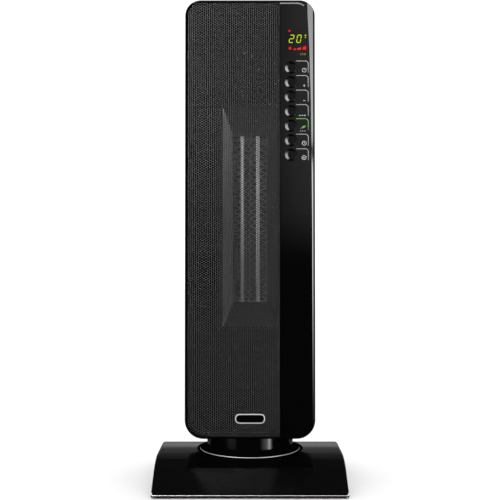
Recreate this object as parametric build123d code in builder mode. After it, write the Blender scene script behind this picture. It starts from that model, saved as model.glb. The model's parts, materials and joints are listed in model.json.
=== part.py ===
from build123d import *
import math
import os

# Tower heater on a swinging foot.
# Millimetres, +Z up, the front faces -Y, the swing axis is Z and the floor is Z = 0.

# Fits
moving_gap = 0.3
slip_gap = 0.15
running_gap = 0.05
cut_overrun = 2.0

# Tower
body_width = 160.0
body_height = 540.0
body_depth = 116.0
body_bottom = 61.0
top_corner_radius = 19.0
bottom_corner_radius = 23.0
back_corner_radius = 38.0
back_edge_radius = 5.0
shell_step = 0.3
wall = 2.6

# Front frame
frame_depth = 18.0
lip_width = 2.6
lip_depth = 1.8
lip_edge_radius = 1.2
right_rim_width = 1.6
bevel_widths = (1.9, 2.4, 3.4, 5.4, 8.0)
bevel_height_shares = (0, 0.5, 0.77, 0.9, 1)
fascia_corner_radius = 10.0
bevel_depth = 1.2
ledge_width = 5.0
fascia_ledge_width = 2.0
ledge_thickness = 3.0
mullion_width = 6.0

# Front grille and control fascia
fascia_edge_x = 36.9
grille_thickness = 1.0
grille_border = 4.0
grille_pitch = 17.0
grille_strand = 2.6
fascia_edge_chamfer = 0.4

# Push-buttons
button_count = 7
button_x = 50.2
button_top_z = 517.2
button_pitch = 17.95
button_radius = 7.4
button_proud = 0.3
button_edge = 0.2
scoop_radius = 7.1
scoop_floor_radius = 5.2
scoop_shift = 1.6
scoop_depth = 1.4
button_travel = 1.0
button_flange_radius = 8.6
button_flange_thickness = 1.0
button_stem_radius = 2.5
button_tip_radius = 1.7

# Display and control board
display_x = 57.4
display_z = 547.0
display_width = 24.8
display_height = 35.0
module_width = 21.0
module_height = 32.0
board_left = 40.5
board_width = 28.0
board_foot_z = 393.0
board_height = 184.0
board_thickness = 1.6
board_gap = 6.2
board_boss_radius = 3.0
board_boss_inset = 4.0
board_boss_x = 58.0
switch_width = 6.0
switch_height = 3.0

# Air duct
duct_wall = 1.5
duct_z = 333.0
mouth_width = 67.0
mouth_height = 270.0
throat_width = 44.0
throat_height = 213.0
throat_inset = 70.0

# Heating block
block_rim = 5.0
block_end_rim = 12.0
block_lip = 1.5
block_lip_cover = 6.0
core_depth = 14.5
tube_width = 4.4
tube_offset = 10.0
centre_plate = 0.8
fin_pitch = 9.0
fin_flat = 1.2
fin_sheet = 0.5
cutout_radius = 7.0
cutout_height = 6.0
cutout_flange_radius = 9.0
cutout_flange = 1.2

# Cross-flow blower
blower_wall = 1.8
blower_flange = 2.0
blower_x = 2.0
blower_inset = 27.0
end_plate = 2.0
impeller_radius = 18.5
impeller_bore_radius = 14.0
impeller_end_gap = 2.5
impeller_disc = 2.0
blade_count = 24
blade_thickness = 0.8
blade_sweep_deg = 24.0
blade_bow = 0.7
scroll_back_gap = 2.4
tongue_depth = 6.0
tongue_gap = 1.8
tongue_turn_deg = -42.0
scroll_turn_deg = 142.0
fan_shaft_radius = 3.0
fan_shaft_hole_radius = 6.0
motor_radius = 20.0
motor_height = 26.0
motor_flange_radius = 15.0
motor_flange = 2.0
motor_cap_radius = 9.0
motor_cap = 4.0
fan_shaft_in_motor = 12.0
bush_radius = 8.0
bush_height = 5.0

# Filter cassette at the back
filter_width = 80.0
filter_height = 240.0
filter_corner = 6.0
filter_border = 7.0
louvre_count = 18
louvre_bar = 4.0
filter_centre_bar = 5.0
filter_cloth = 1.0
filter_cloth_inset = 3.0

# Carrying handle recess
handle_z = 560.0
handle_width = 80.0
handle_height = 32.0
handle_depth = 24.0
handle_corner = 9.0
handle_wall = 2.0

# Vent slots at the back
vent_count = 9
vent_pitch = 9.0
vent_width = 4.0
vent_height = 26.0
vent_z = 508.0

# Mains rocker, cord gland and screws at the back
rocker_x = 26.0
rocker_z = 98.0
rocker_width = 11.0
rocker_height = 17.0
rocker_depth = 4.0
rocker_crown = 0.8
rocker_tilt_deg = 8.0
rocker_pivot_depth = 1.5
bezel_width = 16.0
bezel_height = 23.0
bezel_flange = 2.0
bezel_thickness = 1.2
bezel_depth = 12.0
rocker_floor = 7.5
gland_x = -26.0
gland_z = 98.0
gland_radius = 6.5
gland_flange = 2.5
gland_flange_thickness = 2.5
gland_bore_radius = 3.4
gland_tail = 4.0
screw_post_x = 30.0
screw_post_low_z = 184.0
screw_post_high_z = 482.0
screw_post_radius = 4.5
screw_head_radius = 3.2
screw_head_height = 2.0
screw_shank_radius = 1.5
screw_length = 12.0
screw_well_radius = 3.6
screw_well_depth = 2.4
screw_cup_radius = 5.5
screw_cup_depth = 3.0

# Power board
power_width = 84.0
power_height = 96.0
power_centre_x = -18.0
power_foot_z = 82.0
power_gap = 10.0
power_boss_radius = 3.5
power_boss_inset = 6.0
relay_width = 16.0
relay_height = 20.0
relay_depth = 19.0
relay_pitch = 22.0
relay_rise = 62.0
capacitor_radius = 8.0
capacitor_depth = 24.0
terminal_width = 50.0
terminal_height = 12.0
terminal_depth = 14.0
terminal_rise = 12.0
sink_width = 26.0
sink_height = 18.0
sink_depth = 22.0
sink_fins = 5
sink_web = 1.6
part_rise = 38.0

# Tip-over switch
tilt_x = -44.0
tilt_y = 4.0
tilt_width = 20.0
tilt_depth = 12.0
tilt_height = 24.0

# Base
base_width = 233.0
base_depth = 204.0
base_top = 38.5
base_rim = 2.0
base_wall = 3.0
arch_flat = 56.0
arch_radius = 80.0
base_lip = 2.2
base_lip_round = 1.6
base_edge_radius = 3.0
boss_radius = 64.3
boss_foot_radius = 68.0
boss_foot_z = 26.0
pocket_radius = 58.0
wire_hole_radius = 10.0
base_plate_thickness = 2.5
base_post_side_inset = 24.5
base_post_end_inset = 44.0
base_post_radius = 4.5
foot_side_inset = 22.5
foot_end_inset = 26.0
foot_radius = 9.0
foot_chamfer = 0.5

# Neck, bearing and swing drive
neck_radius = 55.0
neck_wall = 3.0
neck_disc = 4.0
collar_radius = 64.0
collar_lip = 1.4
collar_height = 6.0
hub_radius = 19.0
hub_height = 7.0
glide_inner_radius = 44.0
glide_outer_radius = 50.0
glide_height = 2.0
track_inner_radius = 43.0
track_height = 1.5
post_radius = 14.0
post_bore_radius = 9.0
post_neck_radius = 12.0
post_neck_height = 4.0
post_flange_radius = 21.0
post_flange = 2.0
retainer_radius = 19.0
retainer_height = 2.0
floor_hole_radius = 23.0
gear_module = 1.5
gear_teeth = 36
gear_side_teeth = 6
pinion_teeth = 12
tooth_addendum = 1.2
tooth_dedendum = 1.7
tooth_backlash = 0.35
pressure_angle_deg = 20.0
gear_height = 5.0
pinion_shaft_radius = 2.5
pinion_shaft_depth = 9.0
swing_motor_radius = 21.0
swing_motor_height = 17.0
swing_motor_y = 30.0
motor_nose_radius = 6.0
neck_screw_ring_radius = 40.0

# Places that follow from the sizes
half_width = body_width / 2
body_top = body_bottom + body_height
front_y = -body_depth / 2
back_y = body_depth / 2
split_y = front_y + frame_depth
seat_y = front_y + lip_depth
ledge_back_y = seat_y + ledge_thickness
baffle_back_y = ledge_back_y + duct_wall
inner_back_y = back_y - wall
throat_y = back_y - throat_inset
blower_y = back_y - blower_inset
board_front_y = seat_y + board_gap
block_front_y = throat_y
core_front_y = block_front_y + block_lip
block_back_y = core_front_y + core_depth
core_height = throat_height + 2 * block_lip_cover
blower_foot_z = duct_z - throat_height / 2
blower_top_z = duct_z + throat_height / 2
inward = (0, 1, 0)


def upright(y):
    """Upright plane at depth y, seen from the front: its x is X and its y is Z."""
    return Plane(origin=(0, y, 0), x_dir=(1, 0, 0), z_dir=(0, -1, 0))


def tower_outline(inset):
    """Front outline of the tower, drawn inside its edge by inset."""
    side = half_width - inset
    low = body_bottom + inset
    high = body_top - inset
    with BuildSketch() as outline:
        with BuildLine():
            Polyline((-side, low), (side, low), (side, high), (-side, high), close=True)
        make_face()
        fillet(outline.vertices().group_by(Axis.Y)[-1], top_corner_radius - inset)
        fillet(outline.vertices().group_by(Axis.Y)[0], bottom_corner_radius - inset)
    return outline.sketch


def seat_outline(inset, right_inset):
    """Opening that grille and fascia sit in. Its right side leans in towards the top."""
    left = -half_width + lip_width + inset
    right = half_width - right_rim_width - right_inset
    low = body_bottom + lip_width + inset
    high = body_top - lip_width - inset
    places = zip(bevel_widths, bevel_height_shares)
    right_side = [(right - width, low + share * (high - low)) for width, share in places]
    with BuildSketch() as outline:
        with BuildLine():
            Polyline((left, low), *right_side, (left, high), close=True)
        make_face()
        fillet(outline.vertices().group_by(Axis.Y)[-1].sort_by(Axis.X)[-1], fascia_corner_radius - inset)
        fillet(outline.vertices().group_by(Axis.Y)[-1].sort_by(Axis.X)[0], top_corner_radius - lip_width - inset)
        fillet(outline.vertices().group_by(Axis.Y)[0], bottom_corner_radius - lip_width - inset)
    return outline.sketch


def strip(left, right):
    """Upright strip between two x places, taller than the tower."""
    with BuildSketch() as outline:
        with Locations(((left + right) / 2, body_bottom + body_height / 2)):
            Rectangle(right - left, body_height + cut_overrun)
    return outline.sketch


def bevel_section(width):
    """Triangle that the bevel takes off the frame's right side, seen from above."""
    outer = half_width - right_rim_width
    with BuildSketch() as outline:
        with BuildLine():
            Polyline(
                (outer, front_y),
                (outer - width, front_y),
                (outer - width, front_y + bevel_depth),
                close=True,
            )
        make_face()
    return outline.sketch


os.makedirs("parts", exist_ok=True)

# Front frame: thin rim, seat for grille and fascia, ledge behind them and a post between them
with BuildPart() as front_frame:
    with BuildSketch(upright(front_y)):
        add(tower_outline(0))
    extrude(amount=frame_depth, dir=inward)
    front_face = front_frame.faces().sort_by(Axis.Y)[0]
    fillet(front_face.outer_wire().edges(), lip_edge_radius)
    with BuildSketch(upright(ledge_back_y)):
        add(tower_outline(wall))
    extrude(amount=frame_depth, dir=inward, mode=Mode.SUBTRACT)
    with BuildSketch(upright(front_y)):
        add(seat_outline(0, 0))
    extrude(amount=lip_depth, dir=inward, mode=Mode.SUBTRACT)
    with BuildSketch(upright(front_y)):
        add(seat_outline(ledge_width, fascia_ledge_width))
        add(strip(fascia_edge_x - mullion_width / 2, fascia_edge_x + mullion_width / 2), mode=Mode.SUBTRACT)
    extrude(amount=frame_depth, dir=inward, mode=Mode.SUBTRACT)
    for width, share in zip(bevel_widths, bevel_height_shares):
        with BuildSketch(Plane.XY.offset(body_bottom + lip_width + share * (body_height - 2 * lip_width))):
            add(bevel_section(width))
    loft(ruled=True, mode=Mode.SUBTRACT)
front_frame.part.label = "front_frame"
export_step(front_frame.part, "parts/front_frame.step")

# Front grille: perforated sheet with staggered holes and a plain border
grille_left = -half_width + lip_width
grille_span = fascia_edge_x - grille_left - 2 * grille_border
column_step = grille_pitch * math.cos(math.radians(30))
hole_radius = (grille_pitch - grille_strand) / 2 / math.cos(math.radians(30))
column_count = math.floor((grille_span - 2 * hole_radius) / column_step) + 1
row_span = body_height - 2 * lip_width - 2 * grille_border
row_count = math.floor((row_span - 1.5 * grille_pitch) / grille_pitch) + 1
with BuildPart() as front_grille:
    with BuildSketch(upright(seat_y)):
        add(seat_outline(slip_gap, slip_gap))
        add(strip(fascia_edge_x - slip_gap, body_width), mode=Mode.SUBTRACT)
    extrude(amount=grille_thickness)
    grille_centre = (grille_left + fascia_edge_x) / 2
    with BuildSketch(upright(seat_y)):
        for column in range(column_count):
            x = grille_centre + (column - (column_count - 1) / 2) * column_step
            shift = grille_pitch / 4 if column % 2 else -grille_pitch / 4
            with Locations((x, body_bottom + body_height / 2 + shift)):
                with GridLocations(grille_pitch, grille_pitch, 1, row_count):
                    RegularPolygon(hole_radius, 6)
    extrude(amount=grille_thickness, mode=Mode.SUBTRACT)
front_grille.part.label = "front_grille"
export_step(front_grille.part, "parts/front_grille.step")

# Control fascia: glossy plate with the button holes, the display window and four board bosses
button_places = [(button_x, button_top_z - i * button_pitch) for i in range(button_count)]
board_boss_places = [
    (board_boss_x, board_foot_z + board_boss_inset),
    (board_boss_x, board_foot_z + board_height - board_boss_inset),
]
with BuildPart() as control_fascia:
    with BuildSketch(upright(seat_y)):
        add(seat_outline(slip_gap, slip_gap))
        add(strip(-body_width, fascia_edge_x), mode=Mode.SUBTRACT)
    extrude(amount=lip_depth)
    front_face = control_fascia.faces().sort_by(Axis.Y)[0]
    chamfer(front_face.edges(), fascia_edge_chamfer)
    with BuildSketch(upright(seat_y)):
        with Locations(*button_places):
            Circle(button_radius + moving_gap)
        with Locations((display_x, display_z)):
            Rectangle(display_width, display_height)
    extrude(amount=lip_depth, mode=Mode.SUBTRACT)
    with BuildSketch(upright(seat_y)):
        with Locations(*board_boss_places):
            Circle(board_boss_radius)
    extrude(amount=board_gap, dir=inward)
control_fascia.part.label = "control_fascia"
export_step(control_fascia.part, "parts/control_fascia.step")

# Display window: smoked lens that lies flush in the fascia
with BuildPart() as display_window:
    with BuildSketch(upright(seat_y)):
        with Locations((display_x, display_z)):
            Rectangle(display_width - slip_gap, display_height - slip_gap)
    extrude(amount=lip_depth)
display_window.part.label = "display_window"
export_step(display_window.part, "parts/display_window.step")

# Display module behind the window
with BuildPart() as display_module:
    with BuildSketch(upright(seat_y)):
        with Locations((display_x, display_z)):
            Rectangle(module_width, module_height)
    extrude(amount=board_gap, dir=inward)
display_module.part.label = "display_module"
export_step(display_module.part, "parts/display_module.step")

# Control board on the fascia's bosses
with BuildPart() as control_board:
    with BuildSketch(upright(board_front_y)):
        with Locations((board_left + board_width / 2, board_foot_z + board_height / 2)):
            Rectangle(board_width, board_height)
    extrude(amount=board_thickness, dir=inward)
control_board.part.label = "control_board"
export_step(control_board.part, "parts/control_board.step")

# Key switches, one behind each button, with a hole that the button's tip enters
with BuildPart() as key_switches:
    with BuildSketch(upright(board_front_y)):
        with Locations(*button_places):
            Rectangle(switch_width, switch_width)
            Circle(button_tip_radius + moving_gap, mode=Mode.SUBTRACT)
    extrude(amount=switch_height)
key_switches.part.label = "key_switches"
export_step(key_switches.part, "parts/key_switches.step")

# Push-buttons: caps with an off-centre finger scoop, a flange behind the fascia and a stepped stem
button_names = ("power", "plus", "minus", "mode", "eco", "timer", "swing")
cap_y = front_y - button_proud
flange_y = seat_y + moving_gap
flange_back_y = flange_y + button_flange_thickness
stem_end_y = board_front_y - switch_height - button_travel - moving_gap
tip_y = board_front_y - button_travel - moving_gap
for name, (x, z) in zip(button_names, button_places):
    with BuildPart() as button:
        with BuildSketch(upright(cap_y)):
            with Locations((x, z)):
                Circle(button_radius)
        extrude(amount=flange_back_y - cap_y, dir=inward)
        chamfer(button.faces().sort_by(Axis.Y)[0].edges(), button_edge)
        with BuildSketch(upright(flange_y)):
            with Locations((x, z)):
                Circle(button_flange_radius)
        extrude(amount=button_flange_thickness, dir=inward)
        with BuildSketch(upright(flange_back_y)):
            with Locations((x, z)):
                Circle(button_stem_radius)
        extrude(amount=stem_end_y - flange_back_y, dir=inward)
        with BuildSketch(upright(stem_end_y)):
            with Locations((x, z)):
                Circle(button_tip_radius)
        extrude(amount=tip_y - stem_end_y, dir=inward)
        with BuildSketch(upright(cap_y)):
            with Locations((x, z)):
                Circle(scoop_radius)
        with BuildSketch(upright(cap_y + scoop_depth)):
            with Locations((x + scoop_shift, z)):
                Circle(scoop_floor_radius)
        loft(mode=Mode.SUBTRACT)
    button.part.label = f"button_{name}"
    export_step(button.part, f"parts/button_{name}.step")

# Air duct: baffle plate behind the grille, its duct to the heating block, board bosses and shell posts
screw_post_places = [
    (side * screw_post_x, height)
    for side in (-1, 1)
    for height in (screw_post_low_z, screw_post_high_z)
]
cup_y = inner_back_y - screw_cup_depth
shank_end_y = back_y - screw_well_depth - screw_length
with BuildPart() as air_duct:
    with BuildSketch(upright(ledge_back_y)):
        add(tower_outline(wall + slip_gap))
        add(strip(fascia_edge_x + mullion_width / 4, body_width), mode=Mode.SUBTRACT)
    extrude(amount=duct_wall, dir=inward)
    with BuildSketch(upright(ledge_back_y)):
        with Locations((0, duct_z)):
            Rectangle(mouth_width + 2 * duct_wall, mouth_height + 2 * duct_wall)
    with BuildSketch(upright(throat_y)):
        with Locations((0, duct_z)):
            Rectangle(throat_width + 2 * duct_wall, throat_height + 2 * duct_wall)
    loft()
    with BuildSketch(upright(ledge_back_y)):
        with Locations((0, duct_z)):
            Rectangle(mouth_width, mouth_height)
    with BuildSketch(upright(throat_y)):
        with Locations((0, duct_z)):
            Rectangle(throat_width, throat_height)
    loft(mode=Mode.SUBTRACT)
    with BuildSketch(upright(baffle_back_y)):
        with Locations((power_centre_x, power_foot_z + power_height / 2)):
            with GridLocations(
                power_width - 2 * power_boss_inset, power_height - 2 * power_boss_inset, 2, 2
            ):
                Circle(power_boss_radius)
    extrude(amount=power_gap, dir=inward)
    with BuildSketch(upright(baffle_back_y)):
        with Locations(*screw_post_places):
            Circle(screw_post_radius)
    extrude(amount=cup_y - baffle_back_y, dir=inward)
    with BuildSketch(upright(shank_end_y)):
        with Locations(*screw_post_places):
            Circle(screw_shank_radius + slip_gap)
    extrude(amount=cup_y - shank_end_y, dir=inward, mode=Mode.SUBTRACT)
air_duct.part.label = "air_duct"
export_step(air_duct.part, "parts/air_duct.step")

# Heating block frame: pocket for the core, with a lip in front
with BuildPart() as block_frame:
    with BuildSketch(upright(block_front_y)):
        with Locations((0, duct_z)):
            Rectangle(throat_width + 2 * block_rim, throat_height + 2 * block_end_rim)
    extrude(amount=block_back_y - block_front_y, dir=inward)
    with BuildSketch(upright(core_front_y)):
        with Locations((0, duct_z)):
            Rectangle(throat_width, core_height)
    extrude(amount=core_depth, dir=inward, mode=Mode.SUBTRACT)
    with BuildSketch(upright(block_front_y)):
        with Locations((0, duct_z)):
            Rectangle(throat_width, throat_height)
    extrude(amount=block_lip, dir=inward, mode=Mode.SUBTRACT)
block_frame.part.label = "block_frame"
export_step(block_frame.part, "parts/block_frame.step")

# Heating tubes: flat aluminium tubes with a lug that leans in at each end
for side, name in ((-1, "left"), (1, "right")):
    tube_x = side * tube_offset
    with BuildPart() as heating_tube:
        with BuildSketch(upright(core_front_y)):
            with Locations((tube_x, duct_z)):
                Rectangle(tube_width, core_height)
        extrude(amount=core_depth, dir=inward)
    heating_tube.part.label = f"heating_tube_{name}"
    export_step(heating_tube.part, f"parts/heating_tube_{name}.step")

# Centre plate between the two inner fin strips
with BuildPart() as centre_plate_piece:
    with BuildSketch(upright(core_front_y)):
        with Locations((0, duct_z)):
            Rectangle(centre_plate, core_height)
    extrude(amount=core_depth, dir=inward)
centre_plate_piece.part.label = "centre_plate"
export_step(centre_plate_piece.part, "parts/centre_plate.step")

# Folded fin strips: one sheet each, folded to and fro between its neighbours
fin_zones = {
    "outer_left": (-throat_width / 2, -tube_offset - tube_width / 2),
    "inner_left": (-tube_offset + tube_width / 2, -centre_plate / 2),
    "inner_right": (centre_plate / 2, tube_offset - tube_width / 2),
    "outer_right": (tube_offset + tube_width / 2, throat_width / 2),
}
fin_count = math.floor((core_height - fin_flat - 2 * fin_sheet) / fin_pitch)
for name, (left, right) in fin_zones.items():
    slope = (fin_pitch / 2 - fin_flat) / (right - left - fin_sheet)
    mitre = fin_sheet / 2 * (math.sqrt(1 + slope * slope) - slope)
    rising = []
    falling = []
    for i in range(fin_count):
        low = duct_z + (i - fin_count / 2) * fin_pitch
        high = low + fin_pitch / 2
        rising += [(left, low - mitre), (left, low + fin_flat + mitre)]
        rising += [(right - fin_sheet, high + mitre), (right - fin_sheet, high + fin_flat - mitre)]
        falling += [(left + fin_sheet, low + mitre), (left + fin_sheet, low + fin_flat - mitre)]
        falling += [(right, high - mitre), (right, high + fin_flat + mitre)]
    with BuildPart() as fin_strip:
        with BuildSketch(upright(core_front_y)):
            with BuildLine():
                Polyline(*rising, *reversed(falling), close=True)
            make_face()
        extrude(amount=core_depth, dir=inward)
    fin_strip.part.label = f"fin_strip_{name}"
    export_step(fin_strip.part, f"parts/fin_strip_{name}.step")

# Thermal cut-out on top of the heating block
cutout_foot_z = duct_z + throat_height / 2 + block_end_rim
cutout_y = (block_front_y + block_back_y) / 2
with BuildPart() as thermal_cutout:
    with BuildSketch(Plane.XY.offset(cutout_foot_z)):
        with Locations((0, cutout_y)):
            Rectangle(2 * cutout_flange_radius, cutout_radius)
    extrude(amount=cutout_flange)
    with BuildSketch(Plane.XY.offset(cutout_foot_z)):
        with Locations((0, cutout_y)):
            Circle(cutout_radius)
    extrude(amount=cutout_height)
thermal_cutout.part.label = "thermal_cutout"
export_step(thermal_cutout.part, "parts/thermal_cutout.step")

# Blower housing: scroll wall, tongue, two end plates and a flange against the heating block
duct_side = throat_width / 2
scroll_back_y = blower_y + impeller_radius + scroll_back_gap
tongue_reach = impeller_radius + tongue_gap + blower_wall / 2
tongue_angle = math.radians(tongue_turn_deg)
tongue_tip = (
    blower_x + tongue_reach * math.cos(tongue_angle),
    blower_y + tongue_reach * math.sin(tongue_angle),
)
scroll_turn = math.radians(scroll_turn_deg)
scroll_reach = impeller_radius + (scroll_back_gap + duct_side + blower_x - impeller_radius) / 2
scroll_middle = (
    blower_x + scroll_reach * math.cos(scroll_turn),
    blower_y + scroll_reach * math.sin(scroll_turn),
)
plate_right = blower_x + impeller_radius + blower_wall
plate_back_y = scroll_back_y + blower_wall
with BuildPart() as blower_housing:
    with BuildSketch(upright(block_back_y)):
        with Locations((0, duct_z)):
            Rectangle(throat_width + 2 * block_rim, throat_height + 2 * block_end_rim)
            Rectangle(throat_width, throat_height, mode=Mode.SUBTRACT)
    extrude(amount=blower_flange, dir=inward)
    with BuildSketch(Plane.XY.offset(blower_foot_z)):
        with BuildLine():
            outlet_wall = Line(
                (-duct_side - blower_wall / 2, block_back_y),
                (-duct_side - blower_wall / 2, blower_y - impeller_radius / 2),
            )
            ThreePointArc(outlet_wall @ 1, scroll_middle, (blower_x, scroll_back_y + blower_wall / 2))
        trace(line_width=blower_wall)
        with BuildLine():
            tongue_wall = Line(
                (duct_side + blower_wall / 2, block_back_y),
                (duct_side + blower_wall / 2, block_back_y + tongue_depth),
            )
            Line(tongue_wall @ 1, tongue_tip)
        trace(line_width=blower_wall)
    extrude(amount=throat_height)
    for plate_z in (blower_foot_z - end_plate, blower_top_z):
        with BuildSketch(Plane.XY.offset(plate_z)):
            with BuildLine():
                Polyline(
                    (-duct_side - blower_wall, block_back_y),
                    (duct_side + blower_wall, block_back_y),
                    (plate_right, plate_back_y),
                    (-duct_side - blower_wall, plate_back_y),
                    close=True,
                )
            make_face()
            with Locations((blower_x, blower_y)):
                Circle(fan_shaft_hole_radius, mode=Mode.SUBTRACT)
        extrude(amount=end_plate)
blower_housing.part.label = "blower_housing"
export_step(blower_housing.part, "parts/blower_housing.step")

# Impeller: curved blades between three discs, on one shaft
impeller_foot_z = blower_foot_z + impeller_end_gap
impeller_top_z = blower_top_z - impeller_end_gap
impeller_height = impeller_top_z - impeller_foot_z
shaft_foot_z = blower_foot_z - end_plate - bush_height
motor_foot_z = blower_top_z + end_plate
shaft_top_z = motor_foot_z + fan_shaft_in_motor
blade_turn = math.radians(blade_sweep_deg)
disc_places = (
    impeller_foot_z,
    impeller_foot_z + (impeller_height - impeller_disc) / 2,
    impeller_top_z - impeller_disc,
)
with BuildPart() as impeller:
    with BuildSketch(Plane.XY.offset(impeller_foot_z)) as blades:
        for i in range(blade_count):
            turn = 2 * math.pi * i / blade_count
            root = (
                blower_x + impeller_bore_radius * math.cos(turn),
                blower_y + impeller_bore_radius * math.sin(turn),
            )
            tip_reach = impeller_radius - blade_thickness
            tip = (
                blower_x + tip_reach * math.cos(turn + blade_turn),
                blower_y + tip_reach * math.sin(turn + blade_turn),
            )
            with BuildLine():
                SagittaArc(root, tip, blade_bow)
            trace(line_width=blade_thickness)
    extrude(amount=impeller_height)
    for disc_z in disc_places:
        with BuildSketch(Plane.XY.offset(disc_z)):
            with Locations((blower_x, blower_y)):
                Circle(impeller_radius)
        extrude(amount=impeller_disc)
    with BuildSketch(Plane.XY.offset(shaft_foot_z)):
        with Locations((blower_x, blower_y)):
            Circle(fan_shaft_radius)
    extrude(amount=impeller_foot_z - shaft_foot_z)
    with BuildSketch(Plane.XY.offset(impeller_top_z)):
        with Locations((blower_x, blower_y)):
            Circle(fan_shaft_radius)
    extrude(amount=shaft_top_z - impeller_top_z)
impeller.part.label = "impeller"
export_step(impeller.part, "parts/impeller.step")

# End bush: rubber bearing under the lower end plate
with BuildPart() as end_bush:
    with BuildSketch(Plane.XY.offset(shaft_foot_z)):
        with Locations((blower_x, blower_y)):
            Circle(bush_radius)
            Circle(fan_shaft_radius + running_gap, mode=Mode.SUBTRACT)
    extrude(amount=bush_height)
end_bush.part.label = "end_bush"
export_step(end_bush.part, "parts/end_bush.step")

# Fan motor on the upper end plate
with BuildPart() as fan_motor:
    with BuildSketch(Plane.XY.offset(motor_foot_z)):
        with Locations((blower_x, blower_y)):
            Circle(motor_flange_radius)
    extrude(amount=motor_flange)
    with BuildSketch(Plane.XY.offset(motor_foot_z + motor_flange)):
        with Locations((blower_x, blower_y)):
            Circle(motor_radius)
    extrude(amount=motor_height)
    with BuildSketch(Plane.XY.offset(motor_foot_z + motor_flange + motor_height)):
        with Locations((blower_x, blower_y)):
            Circle(motor_cap_radius)
    extrude(amount=motor_cap)
    with BuildSketch(Plane.XY.offset(motor_foot_z)):
        with Locations((blower_x, blower_y)):
            Circle(fan_shaft_radius + running_gap)
    extrude(amount=fan_shaft_in_motor + moving_gap, mode=Mode.SUBTRACT)
fan_motor.part.label = "fan_motor"
export_step(fan_motor.part, "parts/fan_motor.step")

# Power board on the baffle's bosses
power_front_y = baffle_back_y + power_gap
power_back_y = power_front_y + board_thickness
with BuildPart() as power_board:
    with BuildSketch(upright(power_front_y)):
        with Locations((power_centre_x, power_foot_z + power_height / 2)):
            Rectangle(power_width, power_height)
    extrude(amount=board_thickness, dir=inward)
power_board.part.label = "power_board"
export_step(power_board.part, "parts/power_board.step")

# Relays, side by side on the power board
with BuildPart() as relays:
    with BuildSketch(upright(power_back_y)):
        with Locations((power_centre_x - relay_pitch / 2, power_foot_z + relay_rise)):
            with GridLocations(relay_pitch, relay_pitch, 2, 1):
                Rectangle(relay_width, relay_height)
    extrude(amount=relay_depth, dir=inward)
relays.part.label = "relays"
export_step(relays.part, "parts/relays.step")

# Suppression capacitor
with BuildPart() as capacitor:
    with BuildSketch(upright(power_back_y)):
        with Locations((power_centre_x + relay_pitch, power_foot_z + relay_rise)):
            Circle(capacitor_radius)
    extrude(amount=capacitor_depth, dir=inward)
capacitor.part.label = "capacitor"
export_step(capacitor.part, "parts/capacitor.step")

# Terminal block
with BuildPart() as terminal_block:
    with BuildSketch(upright(power_back_y)):
        with Locations((power_centre_x, power_foot_z + terminal_rise)):
            Rectangle(terminal_width, terminal_height)
    extrude(amount=terminal_depth, dir=inward)
terminal_block.part.label = "terminal_block"
export_step(terminal_block.part, "parts/terminal_block.step")

# Heat sink with upright fins
with BuildPart() as heat_sink:
    with BuildSketch(upright(power_back_y)):
        with Locations((power_centre_x, power_foot_z + part_rise)):
            Rectangle(sink_width, sink_height)
    extrude(amount=sink_web, dir=inward)
    with BuildSketch(upright(power_back_y + sink_web)):
        with Locations((power_centre_x, power_foot_z + part_rise)):
            with GridLocations((sink_width - sink_web) / (sink_fins - 1), sink_height, sink_fins, 1):
                Rectangle(sink_web, sink_height)
    extrude(amount=sink_depth, dir=inward)
heat_sink.part.label = "heat_sink"
export_step(heat_sink.part, "parts/heat_sink.step")


def shell_form(inset):
    """Back half of the tower as a solid, drawn inside its skin by inset."""
    side = half_width - shell_step - inset
    with BuildPart() as form:
        with BuildSketch(upright(split_y)):
            add(tower_outline(inset))
        extrude(amount=back_y - inset - split_y, dir=inward)
        with BuildSketch(Plane.XY.offset(body_bottom)) as plan:
            with BuildLine():
                Polyline(
                    (-side, split_y),
                    (side, split_y),
                    (side, back_y - inset),
                    (-side, back_y - inset),
                    close=True,
                )
            make_face()
            fillet(plan.vertices().group_by(Axis.Y)[-1], back_corner_radius - inset)
        extrude(amount=body_height, mode=Mode.INTERSECT)
    return form.part


# Rear shell: tub with the openings for filter cassette, handle cup, rocker and gland
with BuildPart() as rear_shell:
    add(shell_form(0))
    fillet(rear_shell.edges().filter_by(GeomType.BSPLINE), back_edge_radius)
    add(shell_form(wall), mode=Mode.SUBTRACT)
    with BuildSketch(upright(cup_y)):
        with Locations(*screw_post_places):
            Circle(screw_cup_radius)
    extrude(amount=screw_cup_depth, dir=inward)
    with BuildSketch(upright(inner_back_y)):
        with Locations((0, duct_z)):
            RectangleRounded(
                filter_width + 2 * moving_gap, filter_height + 2 * moving_gap, filter_corner + moving_gap
            )
        with Locations((0, handle_z)):
            RectangleRounded(handle_width, handle_height, handle_corner)
        with Locations((rocker_x, rocker_z)):
            Rectangle(bezel_width, bezel_height)
        with Locations((gland_x, gland_z)):
            Circle(gland_radius)
        with Locations((0, vent_z)):
            with GridLocations(vent_pitch, vent_height, vent_count, 1):
                SlotOverall(vent_height, vent_width, rotation=90)
    extrude(amount=wall, dir=inward, mode=Mode.SUBTRACT)
    with BuildSketch(upright(back_y - screw_well_depth)):
        with Locations(*screw_post_places):
            Circle(screw_well_radius)
    extrude(amount=screw_well_depth, dir=inward, mode=Mode.SUBTRACT)
    with BuildSketch(upright(cup_y)):
        with Locations(*screw_post_places):
            Circle(screw_shank_radius + slip_gap)
    extrude(amount=screw_cup_depth + wall, dir=inward, mode=Mode.SUBTRACT)
    with BuildSketch(Plane.XY.offset(body_bottom)):
        Circle(floor_hole_radius)
    extrude(amount=wall, mode=Mode.SUBTRACT)
rear_shell.part.label = "rear_shell"
export_step(rear_shell.part, "parts/rear_shell.step")

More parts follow.
